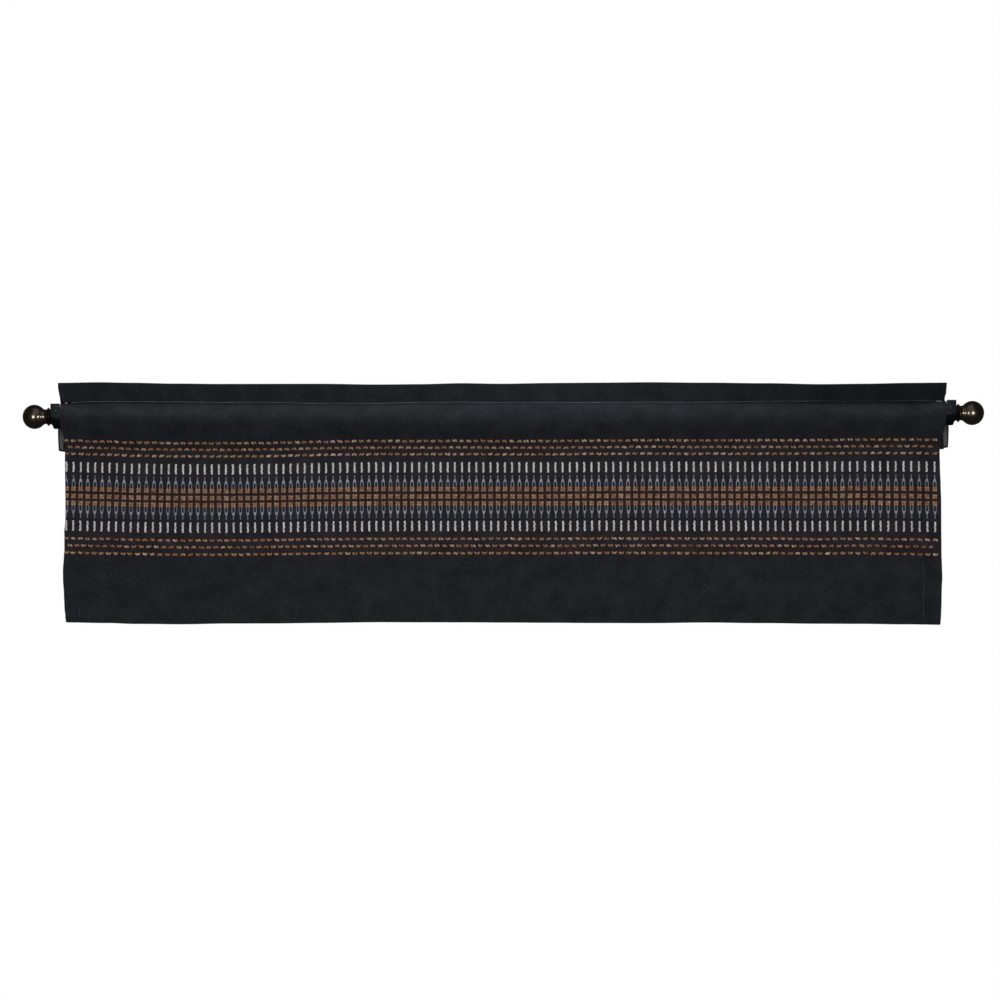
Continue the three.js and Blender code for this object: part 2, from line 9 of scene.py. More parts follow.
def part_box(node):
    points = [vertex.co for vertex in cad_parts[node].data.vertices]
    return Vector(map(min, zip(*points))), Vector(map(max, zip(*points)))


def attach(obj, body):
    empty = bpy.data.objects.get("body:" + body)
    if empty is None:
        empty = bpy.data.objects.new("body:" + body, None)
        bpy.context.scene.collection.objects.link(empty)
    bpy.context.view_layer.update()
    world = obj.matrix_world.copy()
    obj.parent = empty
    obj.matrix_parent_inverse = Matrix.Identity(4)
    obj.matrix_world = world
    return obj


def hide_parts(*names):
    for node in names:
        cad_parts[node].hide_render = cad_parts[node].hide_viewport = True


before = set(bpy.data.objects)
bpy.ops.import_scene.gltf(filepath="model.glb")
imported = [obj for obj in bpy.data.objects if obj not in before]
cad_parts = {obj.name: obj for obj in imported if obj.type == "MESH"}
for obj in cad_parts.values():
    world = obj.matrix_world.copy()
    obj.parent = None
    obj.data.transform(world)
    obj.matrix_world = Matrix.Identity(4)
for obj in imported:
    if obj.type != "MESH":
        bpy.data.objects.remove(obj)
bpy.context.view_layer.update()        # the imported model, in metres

MM = 0.001
BODY = "root"


def table(columns, *rows):
    """Rows of values under their named columns."""
    return [dict(zip(columns.split(), row)) for row in rows]


def node_box(node):
    """Lowest and highest corner of a CAD node, in millimetres."""
    low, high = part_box(node)
    return low / MM, high / MM


POLE_LOW, POLE_HIGH = node_box("pole")
POLE_RADIUS = (POLE_HIGH.z - POLE_LOW.z) / 2
POLE_Y = (POLE_HIGH.y + POLE_LOW.y) / 2
POLE_END = POLE_HIGH.x
PIECE_GAP = 0.3

# ---------------------------------------------------------------- the cloth's dimensions

CLOTH_HALF_WIDTH = 762
CLOTH_THICKNESS = 1.2
LAYER_SPACING = 1.9      # between the middles of two layers that lie together
BODY_SETBACK = 3         # how far the body hangs behind the pole's axis
SEAM_HEIGHT = -58        # the pocket's lower seam
FREE_EDGE_HEIGHT = -360  # where the body's waves are deepest
POCKET_TAIL = 3          # how far the pocket's back layer ends below the seam
POCKET_LIFT_ANGLE = math.radians(42)      # from the pole's top, where the pocket's front leaves the pole
POCKET_BELLY_DEPTH = 25.3                 # how far before the pole's axis its front hangs
POCKET_END_FULLNESS = 4.2                 # how much fuller its upper front is at its two ends
POCKET_END_START = 725                    # the ends' fullness grows from here
POCKET_END_FULL = 760                     # to here
POLE_HOLD = 12           # above this height the pocket's front lies too close to the pole for creases
POCKET_BACK_SLACK = 0.2  # how far its back stands off the pole
POCKET_BACK_ANGLE = math.radians(118)     # from the pole's top, where its back falls away
CURVE_START_PULL = 0.36  # how far a falling curve keeps its first direction, as a share of its height
CURVE_END_PULL = 0.4     # and how far it keeps its last one
HEADER_CURVE = 1.15      # the header's lean grows with this power of the height
BOTTOM_HEM = 41
SIDE_HEM = 27
SIDE_HEM_EXTRA = 0.8     # thickness that the folded side hems add
EDGE_ROUND = 1.1         # the side edges are rounded off over this width
EDGE_LEAST = 0.08        # share of the thickness that is left at the very edge
SEAM_INSET = 3           # the side hem's stitches lie this far from its inner edge
SEAM_DIP = 0.22          # and draw the front in by this much
SEAM_DIP_WIDTH = 1.6

# How the cloth hangs at each station along the pole: the heights of the header's top fold and of the
# stitching above the pole, how far the header leans towards the room, the height of the pocket's belly,
# how far the woven border's top and foot lie above their mean heights, and the height of the bottom fold.
# A program fitted these heights to the photo, all but lean and belly, which breaks a rule: see report.md.
HANG = table(
    "x top stitch lean belly band band_foot bottom",
    (-765, 57.6, 24.6, 9.5, -1, 4.1, 4.8, -356.0),
    (-690, 58.4, 26.2, 9, -1, 2.2, 2.7, -357.3),
    (-640, 57.4, 25.6, 8.5, -2, -0.1, 1.3, -359.2),
    (-560, 55.7, 24.9, 8, -4, -1.3, -0.1, -360.3),
    (-480, 54.8, 23.6, 7, -6.5, -2.0, -0.3, -359.2),
    (-400, 54.5, 23.4, 7, -7, -1.6, 0.1, -359.3),
    (-320, 54.4, 21.1, 6, -7.5, -0.1, 1.0, -358.7),
    (-215, 52.8, 20.6, 5.5, -9, 1.0, 1.0, -357.7),
    (-140, 53.1, 22.0, 6, -12, 0.5, 1.1, -358.3),
    (-75, 54.5, 22.2, 5, -13, 0.5, 0.5, -358.8),
    (0, 53.6, 21.3, -1, -13, -0.2, 0.5, -359.6),
    (80, 54.6, 21.0, -3, -13, -0.4, -0.2, -360.2),
    (160, 54.7, 20.5, -1, -12, -0.1, 0.2, -361.0),
    (250, 54.9, 20.5, 3.5, -10.5, 0.3, -0.4, -361.5),
    (350, 53.5, 20.4, 8, -10, -0.3, -1.0, -360.6),
    (450, 51.9, 21.4, 12, -8.5, -0.7, -1.5, -362.1),
    (548, 49.5, 21.2, 14.5, -7.5, -0.6, -2.7, -363.7),
    (620, 49.9, 21.0, 16, -7, -0.2, -2.3, -364.3),
    (700, 51.0, 21.4, 17, -6.5, 0.0, -4.2, -365.5),
    (765, 51.4, 20.8, 17, -6, -1.4, -5.7, -366.6),
)

# How far the cloth's two side edges stand from the middle of the pole, from the top down.
SIDE_EDGES = table(
    "z left right",
    (58, 768.4, 763.9),
    (48, 769.0, 764.4),
    (40, 768.1, 764.9),
    (34, 767.3, 765.4),
    (29, 767.0, 764.2),
    (25, 767.0, 763.5),
    (22, 766.2, 764.7),
    (19, 765.4, 765.0),
    (17.5, 763.1, 763.1),
    (8, 763.0, 763.0),
    (-17, 762.9, 761.0),
    (-30, 761.1, 759.2),
    (-54, 760.2, 758.0),
    (-66, 760.6, 756.3),
    (-90, 760.5, 756.8),
    (-130, 760.2, 758.1),
    (-150, 759.9, 758.9),
    (-180, 760.1, 759.0),
    (-198, 762.0, 759.0),
    (-231, 761.9, 759.2),
    (-240, 762.8, 759.2),
    (-268, 764.6, 760.0),
    (-285, 764.4, 760.6),
    (-305, 763.0, 759.5),
    (-330, 762.2, 759.2),
    (-346, 760.6, 758.5),
    (-366, 758.4, 757.3),
)

# The pocket's back layer keeps its full width below the pole.
BACK_EDGES = table(
    "z left right",
    (20, 763.1, 763.0),
    (-18, 762.9, 762.9),
    (-30, 763.6, 763.6),
    (-61, 764.2, 764.2),
)

# Soft troughs (depth above 0) and ridges (depth below 0) of the front, each an oval turned by its angle.
# The first ones are the solid's own folds; the rest are finer.
CREASES = table(
    "x z wide high angle depth",
    (-604, -200, 13, 190, 0, 1.6),
    (-665, -240, 16, 120, 0, -1.2),
    (-650, -262, 30, 22, 0, 2.0),
    (-231, -270, 40, 24, 0, 2.2),
    (-93, -281, 34, 18, 0, 1.8),
    (-10, -325, 26, 22, 0, 2.4),
    (380, -292, 60, 30, 0, -1.4),
    (632, -350, 42, 20, 0, 1.8),
    (738, -290, 22, 60, 0, -1.6),
    (-608, -150, 4, 230, 0, 0.5),
    (-669, -310, 4, 18, 0, -0.4),
    (655, -270, 34, 16, 40, 1.0),
    (668, -312, 36, 10, 8, 0.8),
    (742, -327, 18, 3.5, 0, 0.9),
    # the pocket's lower half
    (-534, 0, 16, 6, 12, 0.9),
    (-522, -14, 14, 6, -28, 0.9),
    (-478, -33, 15, 5, -30, 1.2),
    (-447, -28, 16, 6, -35, 1.3),
    (-404, -36, 18, 5, -14, 1.2),
    (-380, -16, 7, 18, 12, -1.0),
    (-330, -20, 22, 8, -10, 0.7),
    (-120, -26, 30, 7, -12, 0.7),
    (60, -30, 28, 6, 10, 0.7),
    (250, -28, 26, 7, 14, 0.8),
    (472, -18, 26, 8, 22, 1.0),
    (515, -30, 22, 5, 48, 1.0),
    (560, -12, 26, 7, 20, 0.8),
    (633, -30, 34, 7, 16, 1.2),
    (700, -26, 20, 6, 36, 1.3),
    (728, -12, 24, 8, 24, 0.9),
)

# Long, shallow waves that run along the body and grow towards its free lower edge.
WAVES = table(
    "length depth phase",
    (610, 2.1, 0.7),
    (268, 0.9, 2.3),
)
# The pocket's front and the header aren't quite straight along the pole either.
POCKET_WAVES = table(
    "length depth phase",
    (383, 0.7, 1.2),
    (144.5, 0.5, 0),
)
HEADER_WAVES = table("length depth phase", (465, 1.1, 0))
RUMPLE_DEPTH = 0.35      # small unevenness of the cloth that no table names
RUMPLE_SIZE = 34
RUMPLE_SQUEEZE = 1.4     # rumples are this much lower than wide
HEADER_RIPPLE = {"depth": 0.5, "length": 45, "height": 30}
CREASE_REACH = 9         # squared distance, in crease sizes, past which a crease is too faint to count


def clamp(value, low=0.0, high=1.0):
    return max(low, min(high, value))


def between(start, end, share):
    return start + (end - start) * share


def ease(low, high, value):
    """0 below low, 1 above high, and a smooth turn between."""
    share = clamp((value - low) / (high - low))
    return share * share * (3 - 2 * share)


def last_before(count, is_before):
    """The last of count ordered indices that is_before holds for, leaving one more after it."""
    low, high = 0, count - 1
    while high - low > 1:
        middle = (low + high) // 2
        if is_before(middle):
            low = middle
        else:
            high = middle
    return low


def look_up(rows, key, place, column):
    """The value of a table's column at a place between its rows, eased from row to row."""
    ordered = rows if rows[0][key] < rows[-1][key] else rows[::-1]
    if place <= ordered[0][key]:
        return ordered[0][column]
    for low, high in zip(ordered, ordered[1:]):
        if place <= high[key]:
            return between(low[column], high[column], ease(low[key], high[key], place))
    return ordered[-1][column]


def wave_sum(waves, x):
    return sum(wave["depth"] * math.sin(2 * math.pi * x / wave["length"] + wave["phase"]) for wave in waves)


def front_relief(x, z):
    """How far behind its plane the front lies at a point."""
    depth = RUMPLE_DEPTH * noise.noise(Vector((x, z * RUMPLE_SQUEEZE, 5)) / RUMPLE_SIZE)
    for crease in CREASES:
        turn = math.radians(crease["angle"])
        across = (x - crease["x"]) * math.cos(turn) + (z - crease["z"]) * math.sin(turn)
        along = (z - crease["z"]) * math.cos(turn) - (x - crease["x"]) * math.sin(turn)
        power = (across / crease["wide"]) ** 2 + (along / crease["high"]) ** 2
        if power < CREASE_REACH:
            depth += crease["depth"] * math.exp(-power)
    looseness = ease(SEAM_HEIGHT, FREE_EDGE_HEIGHT, z)
    return depth + looseness * wave_sum(WAVES, x)


BAND_TOP = -45           # mean heights of the woven border's first and last rows
BAND_FOOT = -240


def band_rise(x, z):
    """How far above its mean height a row of the woven border lies."""
    share = clamp((BAND_TOP - z) / (BAND_TOP - BAND_FOOT))
    return between(look_up(HANG, "x", x, "band"), look_up(HANG, "x", x, "band_foot"), share)


# Where the border's repeats fall along the cloth, in its top and bottom rows of bars.
REPEATS = 120
# A program fitted them to the photo, which breaks a rule: see report.md.
REPEAT_PLACES = table(
    "repeat top foot",
    (0, -757.7, -758.4),
    (6, -683.1, -684.9),
    (12, -605.8, -608.8),
    (18, -530.4, -530.6),
    (24, -456.8, -456.0),
    (30, -381.6, -381.4),
    (38, -283.1, -283.0),
    (48, -158.7, -158.9),
    (60, -10.2, -9.5),
    (72, 139.8, 140.3),
    (84, 291.4, 292.1),
    (96, 444.2, 445.0),
    (104, 548.0, 548.0),
    (112, 652.8, 653.3),
    (119, 747.1, 748.2),
)
PLACES_TOP = -90.6      # heights of the two rows of bars
PLACES_FOOT = -192.9


def repeat_place(repeat, z):
    """How far along the cloth a repeat's middle lies at a height of the border."""
    low, high = REPEAT_PLACES[0], REPEAT_PLACES[1]
    for row, after in zip(REPEAT_PLACES, REPEAT_PLACES[1:]):
        if repeat >= row["repeat"]:
            low, high = row, after
    share = (repeat - low["repeat"]) / (high["repeat"] - low["repeat"])
    down = (PLACES_TOP - z) / (PLACES_TOP - PLACES_FOOT)
    return between(between(low["top"], low["foot"], down), between(high["top"], high["foot"], down), share)


def repeat_at(x, z):
    """The repeat, with its fraction, that lies at a place of the border."""
    low = last_before(REPEATS, lambda repeat: repeat_place(repeat, z) <= x)
    left, right = repeat_place(low, z), repeat_place(low + 1, z)
    return low + (x - left) / (right - left)


# ---------------------------------------------------------------- the cloth's section

HEM_STEPS = 6
FOLD_STEPS = 8
BODY_STEPS = 52
LIFT_STEPS = 9
BELLY_STEPS = 9
FALL_STEPS = 12
BACK_STEPS = 16
HEADER_STEPS = 9
MIDDLE_STATIONS = 296    # steps across the cloth between its side hems


def half_turn(path, middle_y, middle_z, radius, start, end):
    """Adds a fold's half circle, without its two ends."""
    for step in range(1, FOLD_STEPS):
        angle = start + (end - start) * step / FOLD_STEPS
        y = middle_y + radius * math.cos(angle)
        z = middle_z + radius * math.sin(angle)
        path.append((y, z, SIDE_EDGES))


def bezier(a, b, c, d, t):
    s = 1 - t
    return tuple(
        s**3 * p + 3 * s**2 * t * q + 3 * s * t**2 * r + t**3 * w
        for p, q, r, w in zip(a, b, c, d)
    )


def over_pole(side, stitch, spacing, swell, last_angle, steps, edges):
    """The pocket from the stitching over the top of the pole to an angle from its top."""
    close_radius = POLE_RADIUS + PIECE_GAP + CLOTH_THICKNESS / 2 + (spacing - LAYER_SPACING) / 2
    straight_to = math.acos(min(1, close_radius / stitch))
    start = math.asin(spacing / 2 / stitch)
    path = []
    for step in range(steps + 1):
        angle = start + (last_angle - start) * step / steps
        radius = close_radius
        if angle < straight_to:
            radius /= math.cos(straight_to - angle)
        radius += swell * ease(start, last_angle, angle)
        path.append((side * radius * math.sin(angle), radius * math.cos(angle), edges))
    return path


def fall_to(path, y, z, steps, edges):
    """Adds a smooth fall that goes on from the last two points and ends at a place, hanging straight down."""
    (before_y, before_z, _), (last_y, last_z, _) = path[-2:]
    span = last_z - z
    run = Vector((last_y - before_y, last_z - before_z)).normalized() * span * CURVE_START_PULL
    ends = ((last_y, last_z), (last_y + run.x, last_z + run.y), (y, z + span * CURVE_END_PULL), (y, z))
    for step in range(1, steps + 1):
        path.append((*bezier(*ends, step / steps), edges))


def section_at(x, spacing):
    """The path at a station, as (y behind the pole's axis, z, side edges), and where its body starts."""
    half = spacing / 2
    top = look_up(HANG, "x", x, "top")
    stitch = look_up(HANG, "x", x, "stitch")
    bottom = look_up(HANG, "x", x, "bottom")
    seam_z = SEAM_HEIGHT + look_up(HANG, "x", x, "band")

    def body_y(z):
        return BODY_SETBACK + front_relief(x, z)

    path = []
    for step in range(HEM_STEPS + 1):
        z = bottom + BOTTOM_HEM + (half - BOTTOM_HEM) * step / HEM_STEPS
        path.append((body_y(z) + spacing, z, SIDE_EDGES))
    half_turn(path, body_y(bottom) + half, bottom + half, half, 0, -math.pi)
    body_start = len(path)
    for step in range(BODY_STEPS):
        z = bottom + half + (seam_z - bottom - half) * step / BODY_STEPS
        path.append((body_y(z), z, SIDE_EDGES))

    fullness = POCKET_END_FULLNESS * ease(POCKET_END_START, POCKET_END_FULL, abs(x))
    front = over_pole(-1, stitch, spacing, fullness, POCKET_LIFT_ANGLE, LIFT_STEPS, SIDE_EDGES)
    belly_y = -POCKET_BELLY_DEPTH - wave_sum(POCKET_WAVES, x)
    fall_to(front, belly_y, look_up(HANG, "x", x, "belly"), BELLY_STEPS, SIDE_EDGES)
    fall_to(front, BODY_SETBACK, seam_z, FALL_STEPS, SIDE_EDGES)
    for y, z, edges in reversed(front):
        off_pole = ease(POLE_HOLD, 0, z)
        path.append((y + front_relief(x, z) * off_pole, z, edges))

    lean = look_up(HANG, "x", x, "lean") + wave_sum(HEADER_WAVES, x)

    def lean_at(z):
        ripple = noise.noise(Vector((x / HEADER_RIPPLE["length"], z / HEADER_RIPPLE["height"], 9)))
        full_lean = lean + HEADER_RIPPLE["depth"] * ripple
        return -full_lean * ((z - stitch) / (top - stitch)) ** HEADER_CURVE

    header_top = top - half
    for step in range(1, HEADER_STEPS + 1):
        z = stitch + (header_top - stitch) * step / HEADER_STEPS
        path.append((lean_at(z) - half, z, SIDE_EDGES))
    half_turn(path, lean_at(header_top), header_top, half, math.pi, 0)
    for step in range(HEADER_STEPS, 0, -1):
        z = stitch + (header_top - stitch) * step / HEADER_STEPS
        path.append((lean_at(z) + half, z, SIDE_EDGES))

    tail_z = seam_z - POCKET_TAIL
    back = over_pole(1, stitch, spacing, POCKET_BACK_SLACK, POCKET_BACK_ANGLE, BACK_STEPS, BACK_EDGES)
    fall_to(back, body_y(tail_z) + spacing, tail_z, FALL_STEPS, BACK_EDGES)
    path += back
    return path, body_start


def normals_of(path):
    """Normals of a path in the YZ plane, mitred where it turns."""
    made = []
    for i, (y, z, _) in enumerate(path):
        before = path[max(0, i - 1)]
        after = path[min(len(path) - 1, i + 1)]
        into = Vector((y - before[0], z - before[1]))
        out = Vector((after[0] - y, after[1] - z))
        into = (into if i else out).normalized()
        out = (out if i < len(path) - 1 else into).normalized()
        along = (into + out).normalized()
        mitre = 1 / max(0.6, along.dot(out))
        made.append((along.y * mitre, -along.x * mitre))
    return made


def flat_lengths(x, path, body_start):
    """The cloth's flat coordinate along the path: the border's mean height on the body, else arc length."""
    body_end = body_start + BODY_STEPS
    flat = [0.0] * len(path)
    for i in range(body_start, body_end):
        flat[i] = path[i][1] - band_rise(x, path[i][1])
    for i in range(body_end, len(path)):
        flat[i] = flat[i - 1] + math.dist(path[i][:2], path[i - 1][:2])
    for i in range(body_start - 1, -1, -1):
        flat[i] = flat[i + 1] - math.dist(path[i][:2], path[i + 1][:2])
    return flat


# ---------------------------------------------------------------- meshes


def make_mesh(name, points, faces, material, sharp_degrees):
    """A smooth-shaded object from points in millimetres."""
    mesh = bpy.data.meshes.new(name)
    mesh.from_pydata([tuple(c * MM for c in p) for p in points], [], faces)
    mesh.validate()
    mesh.polygons.foreach_set("use_smooth", [True] * len(mesh.polygons))
    mesh.set_sharp_from_angle(angle=math.radians(sharp_degrees))
    mesh.materials.append(material)
    made = bpy.data.objects.new(name, mesh)
    bpy.context.scene.collection.objects.link(made)
    return made


def cloth_stations():
    """Stations across the cloth, close together where its edges round off and where its side hems end."""
    rounded = [0, 0.12, 0.4, 0.75, EDGE_ROUND, 3, 7, 12, 17, 22]
    hem_inner = [SIDE_HEM - 1.4, SIDE_HEM - 0.7, SIDE_HEM, SIDE_HEM + 0.5, SIDE_HEM + 1.5]
    side = [CLOTH_HALF_WIDTH - d for d in rounded + hem_inner]
    inner = CLOTH_HALF_WIDTH - SIDE_HEM - 4
    middle = [-inner + 2 * inner * i / MIDDLE_STATIONS for i in range(MIDDLE_STATIONS + 1)]
    return [-s for s in side] + middle + side[::-1]


def across_at(station, edges, z):
    """Where a station of the flat width lies at a height, between the cloth's side edges there."""
    edge = look_up(edges, "z", z, "left" if station < 0 else "right")
    return station / CLOTH_HALF_WIDTH * edge


class Cloth:
    """The fine cloth: its front and back grids, and its front's depth at any place."""

    def __init__(self):
        self.stations = cloth_stations()
        self.front, self.back, self.flat, self.profiles = [], [], [], []
        self.crease, self.crease_flat = [], []
        for station in self.stations:
            self.add_station(station)

    def add_station(self, station):
        edge_distance = CLOTH_HALF_WIDTH - abs(station)
        extra = SIDE_HEM_EXTRA * (1 - ease(SIDE_HEM - 0.8, SIDE_HEM + 0.6, edge_distance))
        round_share = clamp(1 - edge_distance / EDGE_ROUND)
        thinning = max(EDGE_LEAST, math.sqrt(1 - round_share**2))
        from_seam = edge_distance - SIDE_HEM + SEAM_INSET
        stitched = SEAM_DIP * math.exp(-((from_seam / SEAM_DIP_WIDTH) ** 2))
        path, body_start = section_at(station, LAYER_SPACING + 2 * extra)
        normals = normals_of(path)
        middle_shift = extra / 2

        def side_points(offset):
            points = []
            for (y, z, edges), (ny, nz) in zip(path, normals):
                x = across_at(station, edges, z)
                points.append((x, POLE_Y + y + ny * offset, z + nz * offset))
            return points

        half = (CLOTH_THICKNESS + extra) / 2
        front = side_points(middle_shift - half * thinning + stitched)
        self.front.append(front)
        self.back.append(side_points(middle_shift + half * thinning))
        self.flat.append(flat_lengths(station, path, body_start))
        crease = body_start + BODY_STEPS + FALL_STEPS + BELLY_STEPS + LIFT_STEPS
        self.profiles.append(front[body_start : crease - LIFT_STEPS])
        self.crease.append(front[crease])
        self.crease_flat.append(self.flat[-1][crease])

    def depth_at(self, x, z):
        """The front surface's y at a place on the body or the lower pocket."""
        low = last_before(len(self.stations), lambda index: self.place_across(index, z) <= x)
        x_low, x_high = self.place_across(low, z), self.place_across(low + 1, z)
        share = clamp((x - x_low) / (x_high - x_low))
        return between(self.profile_depth(low, z), self.profile_depth(low + 1, z), share)

    def place_across(self, index, z):
        return across_at(self.stations[index], SIDE_EDGES, z)

    def hold_inside(self, x, z):
        """The nearest place to x that is on the cloth at this height."""
        return clamp(x, self.place_across(0, z) + EDGE_ROUND, self.place_across(-1, z) - EDGE_ROUND)

    def profile_depth(self, index, z):
        """A station's front y at a height."""
        profile = self.profiles[index]
        low = last_before(len(profile), lambda step: profile[step][2] <= z)
        (_, y_low, z_low), (_, y_high, z_high) = profile[low : low + 2]
        return between(y_low, y_high, clamp((z - z_low) / (z_high - z_low)))

    def normal_at(self, x, z):
        reach = 1.5
        slope_x = (self.depth_at(x + reach, z) - self.depth_at(x - reach, z)) / (2 * reach)
        slope_z = (self.depth_at(x, z + reach) - self.depth_at(x, z - reach)) / (2 * reach)
        return Vector((slope_x, -1, slope_z)).normalized()

    def build(self, material):
        stations, steps = len(self.stations), len(self.front[0])
        points = [p for row in self.front for p in row] + [p for row in self.back for p in row]

        def front(i, j):
            return i * steps + j

        def back(i, j):
            return (stations + i) * steps + j

        faces = []
        for i in range(stations - 1):
            for j in range(steps - 1):
                faces.append((front(i, j), front(i + 1, j), front(i + 1, j + 1), front(i, j + 1)))
                faces.append((back(i, j), back(i, j + 1), back(i + 1, j + 1), back(i + 1, j)))
            last = steps - 1
            faces.append((front(i, 0), back(i, 0), back(i + 1, 0), front(i + 1, 0)))
            faces.append((front(i + 1, last), back(i + 1, last), back(i, last), front(i, last)))
        end = stations - 1
        for j in range(steps - 1):
            faces.append((front(0, j), front(0, j + 1), back(0, j + 1), back(0, j)))
            faces.append((front(end, j + 1), front(end, j), back(end, j), back(end, j + 1)))
        made = make_mesh("valance_cloth_fine", points, faces, material, sharp_degrees=70)
        flat, weave = [], []
        for _ in range(2):
            for station, lengths, crease in zip(self.stations, self.flat, self.crease_flat):
                flat += [(station * MM, length * MM) for length in lengths]
                weave += [(repeat_at(station, length), (length - crease) * MM) for length in lengths]
        layer = made.data.uv_layers.new(name="flat")
        weave_layer = made.data.uv_layers.new(name="repeat_and_crease")
        for loop in made.data.loops:
            layer.data[loop.index].uv = flat[loop.vertex_index]
            weave_layer.data[loop.index].uv = weave[loop.vertex_index]
        return made


# ---------------------------------------------------------------- materials


class Nodes:
    """Short calls that add nodes to one material or world."""

    def __init__(self, tree):
        self.tree = tree
        self.tree.nodes.clear()

    def add(self, kind, inputs=(), **settings):
        node = self.tree.nodes.new(kind)
        for key, value in settings.items():
            setattr(node, key, value)
        for key, value in dict(inputs).items():
            if isinstance(value, bpy.types.NodeSocket):
                self.tree.links.new(value, node.inputs[key])
            else:
                node.inputs[key].default_value = value
        return node

    def math(self, operation, a, b=0.0):
        return self.add("ShaderNodeMath", {0: a, 1: b}, operation=operation).outputs[0]

    def place(self):
        """Where a point is on the object, in metres."""
        return self.add("ShaderNodeTexCoord").outputs["Object"]

    def carried(self, layer):
        return self.add("ShaderNodeUVMap", uv_map=layer).outputs[0]

    def part(self, vector, index):
        return self.add("ShaderNodeSeparateXYZ", {0: vector}).outputs[index]

    def times(self, a, b):
        return self.math("MULTIPLY", a, b)

    def plus(self, a, b):
        return self.math("ADD", a, b)

    def distance(self, value, middle):
        return self.math("ABSOLUTE", self.math("SUBTRACT", value, middle))

    def noise(self, vector, scale, detail=2.0, roughness=0.5, scales=(1, 1, 1)):
        placed = self.add("ShaderNodeMapping", {"Vector": vector, "Scale": scales}).outputs[0]
        made = self.add(
            "ShaderNodeTexNoise",
            {"Vector": placed, "Scale": scale, "Detail": detail, "Roughness": roughness},
        )
        return made.outputs["Fac"]

    def ramp(self, factor, stops):
        """A colour ramp through (place, screen colour) stops."""
        node = self.add("ShaderNodeValToRGB", {"Fac": factor})
        elements = node.color_ramp.elements
        while len(elements) < len(stops):
            elements.new(0.5)
        for element, (place, colour) in zip(elements, stops):
            element.position = place
            element.color = (*srgb(*colour), 1)
        return node.outputs["Color"]

    def mix(self, factor, a, b, blend="MIX"):
        node = self.add("ShaderNodeMix", data_type="RGBA", blend_type=blend)
        for socket, value in ((node.inputs[0], factor), (node.inputs[6], a), (node.inputs[7], b)):
            if isinstance(value, bpy.types.NodeSocket):
                self.tree.links.new(value, socket)
            else:
                socket.default_value = (*value, 1) if isinstance(value, tuple) else value
        return node.outputs[2]

    def range(self, value, low, high, to_low=0.0, to_high=1.0, smooth=False):
        node = self.add(
            "ShaderNodeMapRange",
            {"Value": value, "From Min": low, "From Max": high, "To Min": to_low, "To Max": to_high},
            interpolation_type="SMOOTHSTEP" if smooth else "LINEAR",
        )
        return node.outputs[0]

    def spread(self, noise_value, low, high):
        """A noise's usual values, 0.3 to 0.7, as low to high."""
        return self.range(noise_value, 0.3, 0.7, low, high)

    def shaded(self, colour, share):
        """A colour times a share of brightness."""
        grey = self.add("ShaderNodeCombineColor", {0: share, 1: share, 2: share}).outputs[0]
        return self.mix(1.0, colour, grey, "MULTIPLY")


def srgb(red, green, blue):
    """A screen colour, 0 to 255, as the linear colour that a shader takes."""

    def linear(value):
        value /= 255
        return value / 12.92 if value <= 0.04045 else ((value + 0.055) / 1.055) ** 2.4

    return linear(red), linear(green), linear(blue)


def new_material(name):
    material = bpy.data.materials.new(name)
    material.use_nodes = True
    return material, Nodes(material.node_tree)


def finish_material(nodes, shader_inputs, height=None, bump=0.0, distance=0.001):
    """Adds the shader, and a bump of a height, strength and distance in metres."""
    shader = nodes.add("ShaderNodeBsdfPrincipled", shader_inputs)
    if height is not None:
        relief = nodes.add("ShaderNodeBump", {"Height": height, "Strength": bump, "Distance": distance})
        nodes.tree.links.new(relief.outputs[0], shader.inputs["Normal"])
    output = nodes.add("ShaderNodeOutputMaterial")
    nodes.tree.links.new(shader.outputs[0], output.inputs[0])


# The ground's colour down the border: maroon under the orange rows, and neutral or bluish between them.
# Its colours were picked from a program's average of the photo's repeats.
GROUND = table(
    "z colour",
    (-39, (31, 31, 33)),
    (-42, (31, 31, 34)),
    (-45.3, (46, 32, 27)),
    (-50.6, (31, 32, 35)),
    (-56.4, (47, 33, 26)),
    (-62, (37, 39, 42)),
    (-68, (47, 31, 22)),
    (-73, (37, 38, 41)),
    (-86, (41, 40, 42)),
    (-104, (39, 37, 42)),
    (-116, (35, 36, 44)),
    (-123, (33, 34, 38)),
    (-128.6, (49, 32, 19)),
    (-134.9, (34, 38, 45)),
    (-141.2, (45, 31, 23)),
    (-147.3, (37, 38, 43)),
    (-153.4, (46, 31, 19)),
    (-159, (34, 34, 41)),
    (-170, (36, 36, 42)),
    (-181, (34, 34, 38)),
    (-200, (36, 34, 36)),
    (-210, (36, 35, 37)),
    (-215, (51, 31, 20)),
    (-221, (30, 37, 45)),
    (-227, (44, 30, 22)),
    (-233.4, (34, 34, 38)),
    (-239.9, (45, 31, 19)),
    (-245, (32, 32, 36)),
    (-249, (31, 32, 38)),
)
ROW_GAPS = [-134.9, -147.3]      # heights between the rows of squares, warmer where squares face each other
THREAD_TINTS = [
    (0.3, (20, 44, 50)),
    (0.42, (26, 34, 50)),
    (0.5, (36, 34, 37)),
    (0.58, (46, 28, 46)),
    (0.7, (50, 40, 22)),
]
WEAVE_PITCH = {"across": 0.0011, "down": 0.0012}


def border_ground(n, along, repeat):
    """The colour between the border's floats, down its height and across a repeat."""
    low, high = GROUND[-1]["z"] * MM, GROUND[0]["z"] * MM
    stops = [((row["z"] * MM - low) / (high - low), row["colour"]) for row in GROUND[::-1]]
    ground = n.ramp(n.range(along, low, high), stops)
    beside = n.range(n.math("PINGPONG", repeat, 0.5), 0.24, 0.36, 1, 0)
    for gap in ROW_GAPS:
        near = n.range(n.distance(along, gap * MM), 0.0015, 0.003, 1, 0)
        ground = n.mix(n.times(near, beside), ground, srgb(44, 31, 25))
    return ground


